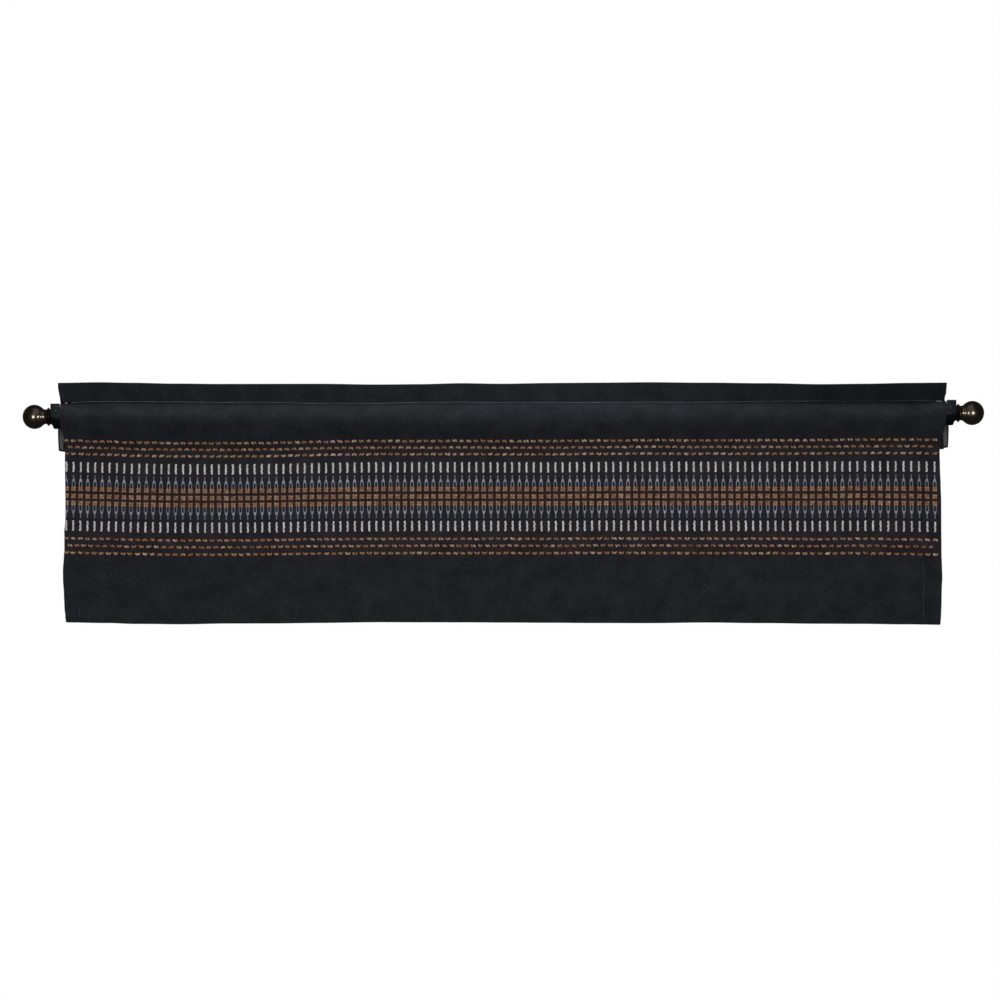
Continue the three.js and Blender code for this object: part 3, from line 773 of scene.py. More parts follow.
def cloth_material():
    """Slubbed dark cotton, with the border's ground, painted shade in its crease and painted shade on the
    header towards its right end.
    """
    material, n = new_material("slubbed_cotton")
    flat = n.carried("flat")
    across, along = n.part(flat, 0), n.part(flat, 1)
    weave = n.carried("repeat_and_crease")
    repeat, above_crease = n.part(weave, 0), n.part(weave, 1)

    slub = n.noise(flat, 1.0, 3, 0.6, (70, 900, 1))
    warp = n.noise(flat, 1.0, 2, 0.5, (1000, 60, 1))
    mottle = n.noise(flat, 28.0, 4, 0.55)
    patch = n.noise(flat, 6.0, 2, 0.5)
    plain = n.mix(n.range(patch, 0.4, 0.68), srgb(30, 33, 37), srgb(33, 34, 38))
    top_end = n.range(along, -0.036, -0.040, smooth=True)
    foot_end = n.range(along, -0.252, -0.247, smooth=True)
    in_band = n.times(top_end, foot_end)
    base = n.mix(in_band, plain, border_ground(n, along, repeat))
    tint = n.ramp(n.noise(flat, 1.0, 2, 0.5, (120, 170, 1)), THREAD_TINTS)
    base = n.mix(n.range(in_band, 0, 1, 0.08, 0.22), base, tint)

    shade = n.plus(n.spread(slub, -0.14, 0.14), n.spread(warp, -0.1, 0.1))
    shade = n.plus(n.plus(shade, n.spread(mottle, -0.27, 0.27)), 1.0)
    # painted shade: the header grows darker towards its right end
    right_header_shade = n.times(n.range(above_crease, 0, 0.003), n.range(across, 0.3, 0.7, 0, 0.25))
    # painted shade: a thin strip along the crease between header and pocket is made darker
    crease_shade = n.range(n.distance(above_crease, -0.0004), 0.002, 0.0034, 0.8, 0, smooth=True)
    # the stronger of the two painted shades takes brightness off the cloth
    darker = n.math("MAXIMUM", right_header_shade, crease_shade)
    base = n.shaded(base, n.times(shade, n.math("SUBTRACT", 1.0, darker)))

    # short thick places in the weft, lighter or darker than the rest, and a little lint
    thick = n.noise(flat, 1.0, 1, 0.5, (110, 420, 1))
    base = n.mix(n.range(thick, 0.66, 0.74, 0, 0.45), base, srgb(58, 60, 68))
    base = n.mix(n.range(thick, 0.34, 0.26, 0, 0.5), base, srgb(16, 16, 20))
    lint = n.noise(flat, 300.0, 1, 0.5)
    base = n.mix(n.range(lint, 0.75, 0.82, 0, 0.6), base, srgb(104, 108, 116))

    ends = n.math("SINE", n.times(across, 2 * math.pi / WEAVE_PITCH["across"]))
    picks = n.math("SINE", n.times(along, 2 * math.pi / WEAVE_PITCH["down"]))
    height = n.plus(n.times(n.times(ends, picks), 0.25), slub)
    look = {"Base Color": base, "Roughness": n.spread(slub, 0.86, 0.98), "Specular IOR Level": 0.06}
    finish_material(n, look, height, bump=0.35, distance=0.0006)
    return material


def yarn_material(name, tones):
    """Yarn whose tone differs from float to float, with fibres along it."""
    material, n = new_material(name)
    fibre = n.noise(n.place(), 1500.0, 2, 0.6)
    tone = n.ramp(n.part(n.carried("tone"), 0), tones)
    look = {
        "Base Color": n.shaded(tone, n.spread(fibre, 0.8, 1.15)),
        "Roughness": n.spread(fibre, 0.77, 0.93),
        "Specular IOR Level": 0.15,
    }
    finish_material(n, look, fibre, bump=0.3, distance=0.0004)
    return material


def paint_material(name, colour, lighter, shade_beneath, roughness, wall_face_painted_light, wall_rim, shine):
    """Worn satin paint, with painted shade below the pole's axis. What stands at the wall is painted lighter
    as a painted reflection of the front light, with painted shade under the cup towards its top, and has a
    dark rim."""
    material, n = new_material(name)
    place = n.place()
    depth, height = n.part(place, 1), n.part(place, 2)
    cloud = n.noise(place, 60.0, 4, 0.6)
    grain = n.noise(place, 900.0, 2, 0.6)
    pointiness = n.add("ShaderNodeNewGeometry").outputs["Pointiness"]
    worn = n.times(n.range(pointiness, 0.53, 0.6), n.range(cloud, 0.4, 0.6))
    base = n.mix(n.range(cloud, 0.3, 0.7), srgb(*colour), srgb(*lighter))
    base = n.mix(n.times(worn, 0.4), base, srgb(70, 70, 68))
    # painted shade: below the pole's axis the paint turns to its shade colour
    base = n.mix(n.range(height, 0.001, -0.003, smooth=True), base, srgb(*shade_beneath))
    # painted shadow of the cup over the top of the wall face
    cup_shadow_share = n.range(height, -0.036, -0.02, 0, 0.6, smooth=True)
    face_light_and_shade = n.mix(cup_shadow_share, srgb(*wall_face_painted_light), srgb(*wall_rim))
    # painted reflection: what lies within 5 mm of the wall takes the lighter wall-face tone, and its sides
    # keep the dark rim
    base = n.mix(n.range(depth, -0.012, -0.005, smooth=True), base, face_light_and_shade)
    base = n.mix(n.range(depth, -0.00399, -0.00394), base, srgb(*wall_rim))
    look = {
        "Base Color": base,
        "Roughness": n.spread(grain, roughness - 0.06, roughness + 0.06),
        "Specular IOR Level": shine,
    }
    finish_material(n, look, grain, bump=0.12, distance=0.0003)
    return material


def bronze_material():
    """Polished dark bronze; the short part next to the pole's end is black and has no coat."""
    material, n = new_material("dark_bronze")
    place = n.place()
    cloud = n.noise(place, 55.0, 4, 0.6)
    speck = n.noise(place, 700.0, 3, 0.65)
    base = n.mix(n.range(cloud, 0.35, 0.65), srgb(66, 58, 46), srgb(84, 74, 58))
    base = n.mix(n.range(speck, 0.6, 0.75, 0, 0.7), base, srgb(34, 29, 25))
    turned = n.range(n.math("ABSOLUTE", n.part(place, 0)), 0.7838, 0.7846)
    look = {
        "Base Color": n.mix(turned, srgb(14, 12, 12), base),
        "Metallic": 1.0,
        "Specular Tint": (0.25, 0.23, 0.2, 1),
        "Roughness": n.spread(speck, 0.27, 0.36),
        "Coat Weight": turned,
        "Coat Roughness": 0.12,
    }
    finish_material(n, look, speck, bump=0.08, distance=0.0003)
    return material


def steel_material():
    """Blackened steel, with painted shade inside the screw's slot."""
    material, n = new_material("blackened_steel")
    place = n.place()
    grain = n.noise(place, 1200.0, 2, 0.6)
    front = (POLE_Y - CUP["outer_radius"] - SET_SCREW["proud"]) * MM
    # painted shade: the inside of the screw's slot is made near black
    slot_shade = n.range(n.part(place, 1), front + 0.0002, front + 0.0006)
    base = n.mix(grain, srgb(50, 56, 60), srgb(84, 90, 94))
    look = {
        "Base Color": n.mix(slot_shade, base, srgb(4, 4, 5)),
        "Metallic": 1.0,
        "Roughness": n.spread(grain, 0.3, 0.45),
    }
    finish_material(n, look)
    return material


# ---------------------------------------------------------------- woven floats


class Floats:
    """Many short yarn floats in one mesh, each a closed dome that lies on the cloth and has its own tone."""

    # along it: share of the length, how much of the end's shape there is, and share of the rise there
    ROWS = [(-0.5, 1.0, 0.15), (-0.28, 0.0, 0.85), (0.28, 0.0, 0.85), (0.5, 1.0, 0.15)]
    # across it: share of the width and of the rise
    COLUMNS = [(-0.5, 0.0), (-0.2, 1.0), (0.2, 1.0), (0.5, 0.0)]
    SUNK = 0.12      # how deep its foot lies in the cloth

    def __init__(self, cloth):
        self.cloth = cloth
        self.points, self.faces, self.tones = [], [], []

    def add(self, x, z, length, width, angle, rise, tone, end=0.55):
        """A float about a place on the cloth, upright at angle 90; end is its ends' share of its width."""
        turn = math.radians(angle)
        along = Vector((math.cos(turn), 0, math.sin(turn)))
        across = Vector((math.sin(turn), 0, -math.cos(turn)))
        normal = self.cloth.normal_at(x, z)
        first = len(self.points)
        for share, ending, high in self.ROWS:
            wide = 1 + (end - 1) * ending
            for side, up in self.COLUMNS:
                offset = along * (share * length) + across * (side * wide * width)
                px, pz = self.cloth.hold_inside(x + offset.x, z + offset.z), z + offset.z
                place = Vector((px, self.cloth.depth_at(px, pz), pz))
                self.points.append(place + normal * (up * high * rise - self.SUNK))
                self.tones.append(tone)
        columns, last = len(self.COLUMNS), len(self.ROWS) - 1
        for row in range(last):
            for column in range(columns - 1):
                corner = first + row * columns + column
                self.faces.append((corner, corner + 1, corner + columns + 1, corner + columns))
        low, high = first, first + last * columns
        self.faces.append((low + 3, low + 2, low + 1, low))
        self.faces.append((high, high + 1, high + 2, high + 3))
        left = [first + row * columns for row in range(last + 1)]
        right = [corner + columns - 1 for corner in reversed(left)]
        self.faces.append(tuple(left + right))

    def build(self, name, material):
        made = make_mesh(name, self.points, self.faces, material, sharp_degrees=75)
        layer = made.data.uv_layers.new(name="tone")
        for loop in made.data.loops:
            layer.data[loop.index].uv = (self.tones[loop.vertex_index], 0.5)
        return made


# A dash is three slanting stitches; slants lists their directions, and tone is how much paler its row is.
DASH_ROWS = table(
    "z shift slants tone",
    (-45.3, 0.0, (-1, 1, -1), 0.05),
    (-56.4, 0.5, (1, -1, -1), 0.0),
    (-68.0, 0.0, (1, 1, 1), 0.12),
    (-215.0, 0.0, (-1, -1, -1), -0.04),
    (-227.0, 0.5, (-1, 1, -1), -0.08),
    (-239.9, 0.0, (-1, -1, 1), -0.04),
)
DASH_STEP = 2.6
DASH_END = 11            # the rows end this far from the cloth's right edge
SQUARE_ROWS = [-128.6, -141.2, -153.4]
SQUARE_REACH = 2.05      # a square's four floats lie this far from its middle, both ways
FLECK_REACH = {"x": 2.7, "z": 2.4}
BAR_ROWS = table("top foot tone", (-82.0, -99.6, 0.55), (-183.9, -201.6, 0.25))
BAR_KNOTS = 5            # floats in a bar
# The blue figure's heights: its stem's end, its head's middle and its legs' end.
FIGURES = table(
    "stem head legs tone",
    (-104.2, -113.9, -124.6, -0.02),
    (-179.0, -168.8, -157.4, -0.09),
)
LEG_OFFSET = 2.35        # its legs stand this far from its middle
HEAD_HALF = 2.4          # from its head's middle to its stem
SHOULDER_DROP = 2.8      # and to the middles of the slanting tops of its legs
KNEE_DROP = 3.4          # and to where its legs go straight on


def weave_dashes(orange, on_cloth, place, rng):
    for row in DASH_ROWS:
        for repeat in range(REPEATS):
            x = place(repeat + row["shift"], row["z"])
            if x > CLOTH_HALF_WIDTH - DASH_END:
                continue
            z = on_cloth(x, row["z"]) + rng.uniform(-0.3, 0.3)
            tone = rng.uniform(0.4, 0.8) + row["tone"]
            for part, slant in zip((-1, 0, 1), row["slants"]):
                if rng.random() < 0.2:
                    slant = -slant
                float_x = x + part * DASH_STEP + rng.uniform(-0.2, 0.2)
                float_z = z + rng.uniform(-0.4, 0.4)
                length, width = rng.uniform(4.5, 5.4), rng.uniform(2.1, 2.6)
                angle = 90 - slant * rng.uniform(24, 42)
                float_tone = clamp(tone + rng.uniform(-0.35, 0.3))
                orange.add(float_x, float_z, length, width, angle, 0.7, float_tone, end=0.7)


def weave_squares(orange, on_cloth, place, rng):
    """Each square is four slanting floats about a dark middle, with a lighter fleck or two."""
    for middle_z in SQUARE_ROWS:
        for repeat in range(REPEATS):
            x = place(repeat, middle_z, 0.2)
            z = on_cloth(x, middle_z) + rng.uniform(-0.2, 0.2)
            tone = rng.uniform(0.3, 0.6)
            for side_x in (-1, 1):
                for side_z in (-1, 1):
                    float_x, float_z = x + side_x * SQUARE_REACH, z + side_z * SQUARE_REACH
                    length, width = rng.uniform(4.1, 4.5), rng.uniform(3.5, 4.0)
                    angle = rng.uniform(-14, 14) + (0 if side_x == side_z else 90)
                    float_tone = clamp(tone + rng.uniform(-0.2, 0.25))
                    orange.add(float_x, float_z, length, width, angle, 0.7, float_tone, end=0.85)
            orange.add(x, z, 3.0, 1.6, rng.uniform(20, 70), 0.85, rng.uniform(0.2, 0.5))
            for _ in range(2):
                fleck_x = x + rng.choice((-1, 1)) * FLECK_REACH["x"]
                fleck_z = z + rng.choice((-1, 1)) * FLECK_REACH["z"]
                orange.add(fleck_x, fleck_z, 2.6, 1.4, rng.uniform(0, 180), 0.95, rng.uniform(0.75, 1.0))


def weave_bars(pale, on_cloth, place, rng):
    """Each bar is a chain of short thick floats that lean from side to side."""
    for row in BAR_ROWS:
        tall = (row["top"] - row["foot"]) / BAR_KNOTS
        for repeat in range(REPEATS):
            tone = row["tone"] + rng.uniform(-0.2, 0.2)
            lean = rng.choice((-1, 1))
            for knot in range(BAR_KNOTS):
                z = row["top"] - tall * (knot + 0.5)
                x = place(repeat, z, 0.2)
                lean = -lean
                width = rng.uniform(3.4, 3.9)
                angle = 90 + lean * rng.uniform(4, 13)
                knot_tone = clamp(tone + rng.uniform(-0.4, 0.3))
                pale.add(x + 0.25 * lean, on_cloth(x, z), tall * 1.15, width, angle, 0.7, knot_tone, end=0.66)


def weave_figures(blue, on_cloth, place, rng):
    """Each blue figure is a stem of two stitches, a head and two legs."""
    for figure in FIGURES:
        up = 1 if figure["stem"] > figure["head"] else -1
        for repeat in range(REPEATS):
            tone = rng.uniform(0.4, 0.7) + figure["tone"]
            head_z = figure["head"]
            x = place(repeat, head_z, 0.2)
            rise = on_cloth(x, head_z) - head_z
            stem_end = head_z + HEAD_HALF * up
            stem = (figure["stem"] - stem_end) / 2
            for part in (0.5, 1.5):
                lean = 90 + rng.uniform(-8, 8)
                blue.add(x, stem_end + stem * part + rise, abs(stem) + 0.4, 2.1, lean, 0.5, tone, end=0.8)
            blue.add(x, head_z + rise, 5.2, rng.uniform(4.4, 5.0), 90, 0.65, clamp(tone + 0.3), end=0.6)
            knee_z = head_z - up * KNEE_DROP
            foot = abs(knee_z - figure["legs"])
            for side in (-1, 1):
                leg_x = x + side * LEG_OFFSET + rng.uniform(-0.15, 0.15)
                shoulder_z = head_z - up * SHOULDER_DROP + rise
                blue.add(leg_x, shoulder_z, 3.0, 1.5, 90 + side * up * 14, 0.5, clamp(tone + 0.1))
                for part in (0.25, 0.75):
                    z = knee_z - up * foot * part + rise
                    leg_tone = clamp(tone + rng.uniform(-0.2, 0.2))
                    blue.add(leg_x, z, foot / 2 + 0.5, 1.6, 90 + rng.uniform(-6, 6), 0.5, leg_tone, end=0.75)


def weave_border(cloth, rng):
    """The orange, pale and blue floats of the woven border."""
    orange, pale, blue = Floats(cloth), Floats(cloth), Floats(cloth)

    def on_cloth(x, flat_z):
        return flat_z + band_rise(x, flat_z)

    def place(repeat, z, loose=0.3):
        return repeat_place(repeat, z) + rng.uniform(-loose, loose)

    weave_dashes(orange, on_cloth, place, rng)
    weave_squares(orange, on_cloth, place, rng)
    weave_bars(pale, on_cloth, place, rng)
    weave_figures(blue, on_cloth, place, rng)
    return orange, pale, blue


class CreaseLine:
    """The bottom of the crease between header and pocket, where its row of stitches lies."""

    def __init__(self, cloth):
        self.points = cloth.crease

    def place(self, x):
        """The crease's y and z at a place along it."""
        for low, high in zip(self.points, self.points[1:]):
            if x <= high[0]:
                share = clamp((x - low[0]) / (high[0] - low[0]))
                return between(low[1], high[1], share), between(low[2], high[2], share)
        return self.points[-1][1], self.points[-1][2]

    def hold_inside(self, x, z):
        return x

    def depth_at(self, x, z):
        return self.place(x)[0] - STITCH_LIFT

    def normal_at(self, x, z):
        return Vector((0, -1, 0))


STITCH_START = 16 - CLOTH_HALF_WIDTH
STITCH_END = CLOTH_HALF_WIDTH - 4
STITCH_PITCH = 4.83
THREAD_DARKER_FROM = 480          # the thread gets duller from here
THREAD_DARKER_TO = 620            # to here, and stays so to the right end
STITCH_LIFT = 0.45       # how far before the crease's bottom the stitches lie
STITCH_HEIGHT = 0.5      # and how far above it
SEAM_PITCH = 3.3
# The long and the backward stitches that fasten the row's two ends.
LOOSE_STITCHES = table(
    "x lift length angle",
    (-754, -1.2, 9.5, -14),
    (750.5, 0, 2.6, 6),
    (754, 0, 2.6, -8),
    (757.5, 0, 2.6, 4),
)
SIDE_SEAMS = table(
    "x top foot",
    (727.5, -258, -361),
    (-735.5, -329, -347),
)


def sewing(cloth, rng):
    """The row of stitches between header and pocket, and the short rows on the side hems."""
    crease = CreaseLine(cloth)
    made = Floats(crease)
    x = STITCH_START
    while x < STITCH_END:
        z = crease.place(x)[1] + STITCH_HEIGHT
        # the thread is made darker towards the right end
        worn = 0.3 * ease(THREAD_DARKER_FROM, THREAD_DARKER_TO, x)
        tone = rng.uniform(0.6, 1.0) - worn
        made.add(x, z + rng.uniform(-0.08, 0.08), rng.uniform(1.2, 1.6), 1.0, rng.uniform(-8, 8), 0.9, tone)
        x += STITCH_PITCH
    for row in LOOSE_STITCHES:
        z = crease.place(row["x"])[1] + row["lift"]
        made.add(row["x"], z, row["length"], 1.5, row["angle"], 0.9, 1.0)
    made.cloth = cloth       # the side hems' stitches lie on the cloth itself
    for seam in SIDE_SEAMS:
        z = seam["top"]
        while z > seam["foot"]:
            made.add(seam["x"] + rng.uniform(-0.3, 0.3), z, 1.6, 0.8, 90 + rng.uniform(-14, 14), 0.3, 0.0)
            z -= SEAM_PITCH
    return made


# ---------------------------------------------------------------- turned and cast pieces

LATHE_STEPS = 96


def disc(radius, count=48):
    """A circle's points about the origin."""
    turn = 2 * math.pi / count
    return [(radius * math.cos(turn * k), radius * math.sin(turn * k)) for k in range(count)]


def lathe(name, profile, material, flip=False):
    """A body turned about the pole's axis from (distance along x, radius) rows; flip mirrors it in x."""
    side = -1 if flip else 1
    points, faces, rows = [], [], []
    for along, radius in profile:
        ring = disc(radius, LATHE_STEPS) if radius else [(0, 0)]
        rows.append(list(range(len(points), len(points) + len(ring))))
        points += [(side * along, POLE_Y + y, z) for y, z in ring]
    for low, high in zip(rows, rows[1:]):
        for k in range(LATHE_STEPS):
            a, b = low[k % len(low)], low[(k + 1) % len(low)]
            c, d = high[(k + 1) % len(high)], high[k % len(high)]
            corners = tuple(dict.fromkeys((a, b, c, d)))      # a pointed end's face has three corners
            faces.append(corners if flip else corners[::-1])
    return make_mesh(name, points, faces, material, sharp_degrees=50)


def prism(outline, axis, low, high):
    """A closed body: an outline in the plane across an axis, pulled along that axis from low to high."""
    def place(a, b, c):
        return (c, a, b) if axis == "x" else (a, c, b)

    count = len(outline)
    points = [place(a, b, low) for a, b in outline] + [place(a, b, high) for a, b in outline]
    faces = [tuple(range(count)), tuple(range(2 * count - 1, count - 1, -1))]
    for k in range(count):
        after = (k + 1) % count
        faces.append((k, k + count, after + count, after))
    return points, faces


def ring_faces(rows, count):
    """Faces between rings of points that follow one another, and a face over each end."""
    faces = []
    for row in range(rows - 1):
        low = row * count
        for k in range(count):
            after = (k + 1) % count
            faces.append((low + k, low + after, low + count + after, low + count + k))
    last = (rows - 1) * count
    return faces + [tuple(range(count)), tuple(range(last, last + count))]


def face_outward(mesh):
    work = bmesh.new()
    work.from_mesh(mesh)
    bmesh.ops.recalc_face_normals(work, faces=work.faces)
    work.to_mesh(mesh)
    work.free()


def solid(points, faces):
    """A helper object with outward faces, used for joining and cutting."""
    mesh = bpy.data.meshes.new("helper")
    mesh.from_pydata([tuple(c * MM for c in p) for p in points], [], faces)
    face_outward(mesh)
    made = bpy.data.objects.new("helper", mesh)
    bpy.context.scene.collection.objects.link(made)
    return made


def combine(base, other, operation):
    """Joins or cuts two helpers and leaves the result in the first."""
    change = base.modifiers.new("combine", "BOOLEAN")
    change.operation = operation
    change.solver = "EXACT"
    change.object = other
    bake(base)
    bpy.data.objects.remove(other)


def bake(made):
    """Turns an object's modifiers into its mesh."""
    shape = made.evaluated_get(bpy.context.evaluated_depsgraph_get())
    mesh = bpy.data.meshes.new_from_object(shape)
    made.modifiers.clear()
    made.data = mesh


def rectangle(middle, width, low, high):
    """An upright rectangle's outline about a middle line."""
    left, right = middle - width / 2, middle + width / 2
    return [(left, low), (right, low), (right, high), (left, high)]


def moved(outline, a, b):
    return [(p + a, q + b) for p, q in outline]


CUP = {
    "inner_radius": 17.8,
    "outer_radius": 21.2,
    "inner_face": 763.4,
    "outer_face": 779.2,
    "strap_face": 777.2,
    "strap_top": -14.6,
    "lip_top": 21.8,
    "back_top": 9.0,
}
ARM = {"middle": 770.6, "width": 10.0, "top": 7.0, "bottom": -9.0}
PLATE = {
    "middle": 774.0,
    "width": 30.0,
    "top": 21.5,
    "bottom": -59.0,
    "thickness": 4.0,
    "bow": 1.3,
    "corner": 2.5,
    "least_corner": 0.8,
}
CORNER_STEPS = 6
SIDE_STEPS = 16
CUTTER_SPARE = 5         # how far a cutting block reaches past what it cuts
WALL_HOLES = {"radius": 2.4, "heights": (14.5, -46)}
BITE = {"cup": 1.5, "plate": 0.5}      # how far the arm runs into what it joins
EDGE_SOFTNESS = 0.45
SET_SCREW = {"middle": 768.2, "radius": 2.3, "z": 9.0, "proud": 0.6, "slot_share": 0.62, "slot_angle": -28}
SLOT_BITE = 0.5          # rows of the screw this much smaller than its radius belong to its slot


def cup_outline():
    """The cup about the pole's axis, as (y, z)."""
    inner, outer = CUP["inner_radius"], CUP["outer_radius"]
    steps = 40
    outline = [(-inner, CUP["lip_top"]), (-outer, CUP["lip_top"])]
    for k in range(steps + 1):
        angle = math.pi + math.pi * k / steps
        outline.append((outer * math.cos(angle), outer * math.sin(angle)))
    outline += [(outer, CUP["back_top"]), (inner, CUP["back_top"])]
    for k in range(steps + 1):
        angle = 2 * math.pi - math.pi * k / steps
        outline.append((inner * math.cos(angle), inner * math.sin(angle)))
    return moved(outline, POLE_Y, 0)


def plate_outline(inset):
    """The wall plate's slightly bowed outline about its own middle, as (x, z)."""
    half_width = PLATE["width"] / 2 - inset
    half_height = (PLATE["top"] - PLATE["bottom"]) / 2 - inset
    corner = max(PLATE["least_corner"], PLATE["corner"] - inset)
    bow = PLATE["bow"]
    side_x, end_z = half_width - bow, half_height - bow
    corners = [(1, 1), (-1, 1), (-1, -1), (1, -1)]
    outline = []
    for index, (sx, sz) in enumerate(corners):
        first = (side_x, end_z - corner) if index % 2 == 0 else (side_x - corner, end_z)
        last = (side_x - corner, end_z) if index % 2 == 0 else (side_x, end_z - corner)
        for k in range(CORNER_STEPS + 1):
            t = k / CORNER_STEPS
            a = first[0] * (1 - t) ** 2 + 2 * side_x * t * (1 - t) + last[0] * t * t
            b = first[1] * (1 - t) ** 2 + 2 * end_z * t * (1 - t) + last[1] * t * t
            outline.append((sx * a, sz * b))
        long_side = index % 2 == 1
        for k in range(1, SIDE_STEPS):
            t = k / SIDE_STEPS
            bulge = 4 * t * (1 - t) * bow
            if long_side:
                outline.append((sx * (side_x + bulge), sz * (end_z - corner) * (1 - 2 * t)))
            else:
                outline.append((sx * (side_x - corner) * (1 - 2 * t), sz * (end_z + bulge)))
    middle_z = (PLATE["top"] + PLATE["bottom"]) / 2
    return moved(outline, PLATE["middle"], middle_z)


def plate_body():
    """The wall plate, its front edge rounded off in a few rows."""
    front = PLATE["thickness"]
    rows = [(0, 0), (front - 1.9, 0), (front - 1.1, 0.3), (front - 0.45, 1.2), (front, 3.2)]
    points = [(x, -depth, z) for depth, inset in rows for x, z in plate_outline(inset)]
    return solid(points, ring_faces(len(rows), len(points) // len(rows)))


def bracket(name, material, flip):
    """One bracket: wall plate, arm and cup in one casting; flip mirrors it in x."""
    made = solid(*prism(cup_outline(), "x", CUP["inner_face"], CUP["outer_face"]))
    reach = CUP["outer_radius"] + CUTTER_SPARE
    beside_strap = rectangle(POLE_Y, 2 * reach, -reach, CUP["strap_top"])
    cut_to = CUP["outer_face"] + CUTTER_SPARE
    combine(made, solid(*prism(beside_strap, "x", CUP["strap_face"], cut_to)), "DIFFERENCE")
    hole = moved(disc(SET_SCREW["radius"] + PIECE_GAP), SET_SCREW["middle"], SET_SCREW["z"])
    back = POLE_Y - CUP["inner_radius"] + CUTTER_SPARE
    combine(made, solid(*prism(hole, "y", POLE_Y - reach, back)), "DIFFERENCE")

    arm = rectangle(ARM["middle"], ARM["width"], ARM["bottom"], ARM["top"])
    arm_front = POLE_Y + CUP["outer_radius"] - BITE["cup"]
    combine(made, solid(*prism(arm, "y", arm_front, -PLATE["thickness"] + BITE["plate"])), "UNION")
    combine(made, plate_body(), "UNION")
    for z in WALL_HOLES["heights"]:
        hole = moved(disc(WALL_HOLES["radius"]), PLATE["middle"], z)
        front = -PLATE["thickness"] - CUTTER_SPARE
        combine(made, solid(*prism(hole, "y", front, CUTTER_SPARE)), "DIFFERENCE")

    soften = made.modifiers.new("soften", "BEVEL")
    soften.width = EDGE_SOFTNESS * MM
    soften.segments = 3
    soften.limit_method = "ANGLE"
    soften.angle_limit = math.radians(38)
    soften.use_clamp_overlap = True
    bake(made)
    if flip:
        made.data.transform(Matrix.Scale(-1, 4, (1, 0, 0)))
        made.data.flip_normals()
    made.name = name
    made.data.polygons.foreach_set("use_smooth", [True] * len(made.data.polygons))
    made.data.set_sharp_from_angle(angle=math.radians(32))
    made.data.materials.clear()
    made.data.materials.append(material)
    return made


def set_screw(name, material, flip):
    """A headless screw with a slanting slot, its rim rounded."""
    side = -1 if flip else 1
    radius = SET_SCREW["radius"]
    front = POLE_Y - CUP["outer_radius"] - SET_SCREW["proud"]
    back = POLE_Y - CUP["inner_radius"]
    lean = math.radians(SET_SCREW["slot_angle"])
    rows = [
        (back, radius),
        (front + 0.3, radius),
        (front + 0.08, radius - 0.1),
        (front, radius - 0.25),
        (front + 0.12, radius - SLOT_BITE - 0.01),
        (front + 1.6, radius - SLOT_BITE - 0.15),
        (front + 1.8, 0.4),
    ]
    points = []
    for depth, size in rows:
        narrow = SET_SCREW["slot_share"] if size < radius - SLOT_BITE else 1
        for across, up in disc(size):
            a = across * narrow * math.cos(lean) - up * math.sin(lean)
            b = across * narrow * math.sin(lean) + up * math.cos(lean)
            points.append((side * SET_SCREW["middle"] + a, depth, SET_SCREW["z"] + b))
    faces = ring_faces(len(rows), len(points) // len(rows))
    made = make_mesh(name, points, faces, material, sharp_degrees=45)
    face_outward(made.data)
    return made


FINIAL_STEM = [
    (785.0, 13.0), (786.2, 14.2), (787.0, 15.3), (787.7, 15.8), (788.4, 15.2), (789.2, 13.9), (790.0, 13.1),
    (790.8, 12.76), (792.0, 12.72), (793.4, 12.8), (794.8, 13.1), (796.2, 13.7), (797.4, 14.5), (798.4, 15.3),
]
BALL = {"start_radius": 16.0, "middle": 812.1, "radius": 21.0, "half_length": 19.9}
FINIAL_CHAMFER = 0.2
POLE_CHAMFER = 0.6
CURVE_PARTS = 4          # points to each span of the finial's neck
BALL_STEPS = 56


def smooth_value(before, start, end, after, t):
    """A Catmull-Rom curve's value between two of its points, of which t is the share."""
    squared = 2 * before - 5 * start + 4 * end - after
    cubed = 3 * start - before - 3 * end + after
    return (2 * start + (end - before) * t + squared * t**2 + cubed * t**3) / 2


def curve_through(rows, parts):
    """A smooth curve through rows of numbers, each span in so many parts."""
    made = []
    for i in range(len(rows) - 1):
        near = (rows[max(0, i - 1)], rows[i], rows[i + 1], rows[min(len(rows) - 1, i + 2)])
        for step in range(parts):
            made.append(tuple(smooth_value(*values, step / parts) for values in zip(*near)))
    return made + [rows[-1]]


def finial_profile():
    """Rows of distance along the pole and radius: a short spigot, a thin collar, a neck and a ball."""
    spigot = POLE_END + PIECE_GAP
    first_radius = FINIAL_STEM[0][1]
    stem = [(spigot, 0), (spigot, first_radius - FINIAL_CHAMFER), (spigot + FINIAL_CHAMFER, first_radius)]
    meets = math.asin(BALL["start_radius"] / BALL["radius"])
    ball = []
    for i in range(BALL_STEPS + 1):
        angle = meets + (math.pi - meets) * i / BALL_STEPS
        radius = 0 if i == BALL_STEPS else BALL["radius"] * math.sin(angle)
        ball.append((BALL["middle"] - BALL["half_length"] * math.cos(angle), radius))
    neck = curve_through(FINIAL_STEM + ball[:2], CURVE_PARTS)
    return stem + neck[: -CURVE_PARTS - 1] + ball


def pole_profile():
    """The pole from end to end, with a small chamfer at both."""
    half = [(POLE_END - POLE_CHAMFER, POLE_RADIUS), (POLE_END, POLE_RADIUS - POLE_CHAMFER), (POLE_END, 0)]
    return [(-along, radius) for along, radius in reversed(half)] + half


# ---------------------------------------------------------------- the object

# the plate's lighter face is a painted reflection of the front light; the rim is the paint's own dark colour
PLATE_PAINTED_LIGHT_AND_RIM = {"wall_face_painted_light": (98, 98, 99), "wall_rim": (32, 33, 35)}
pole_look = paint_material(
    "pole_paint_satin",
    colour=(20, 23, 25),
    lighter=(26, 29, 31),
    shade_beneath=(20, 23, 25),
    roughness=0.5,
    wall_face_painted_light=(26, 29, 31),
    wall_rim=(26, 29, 31),
    shine=0.1,
)
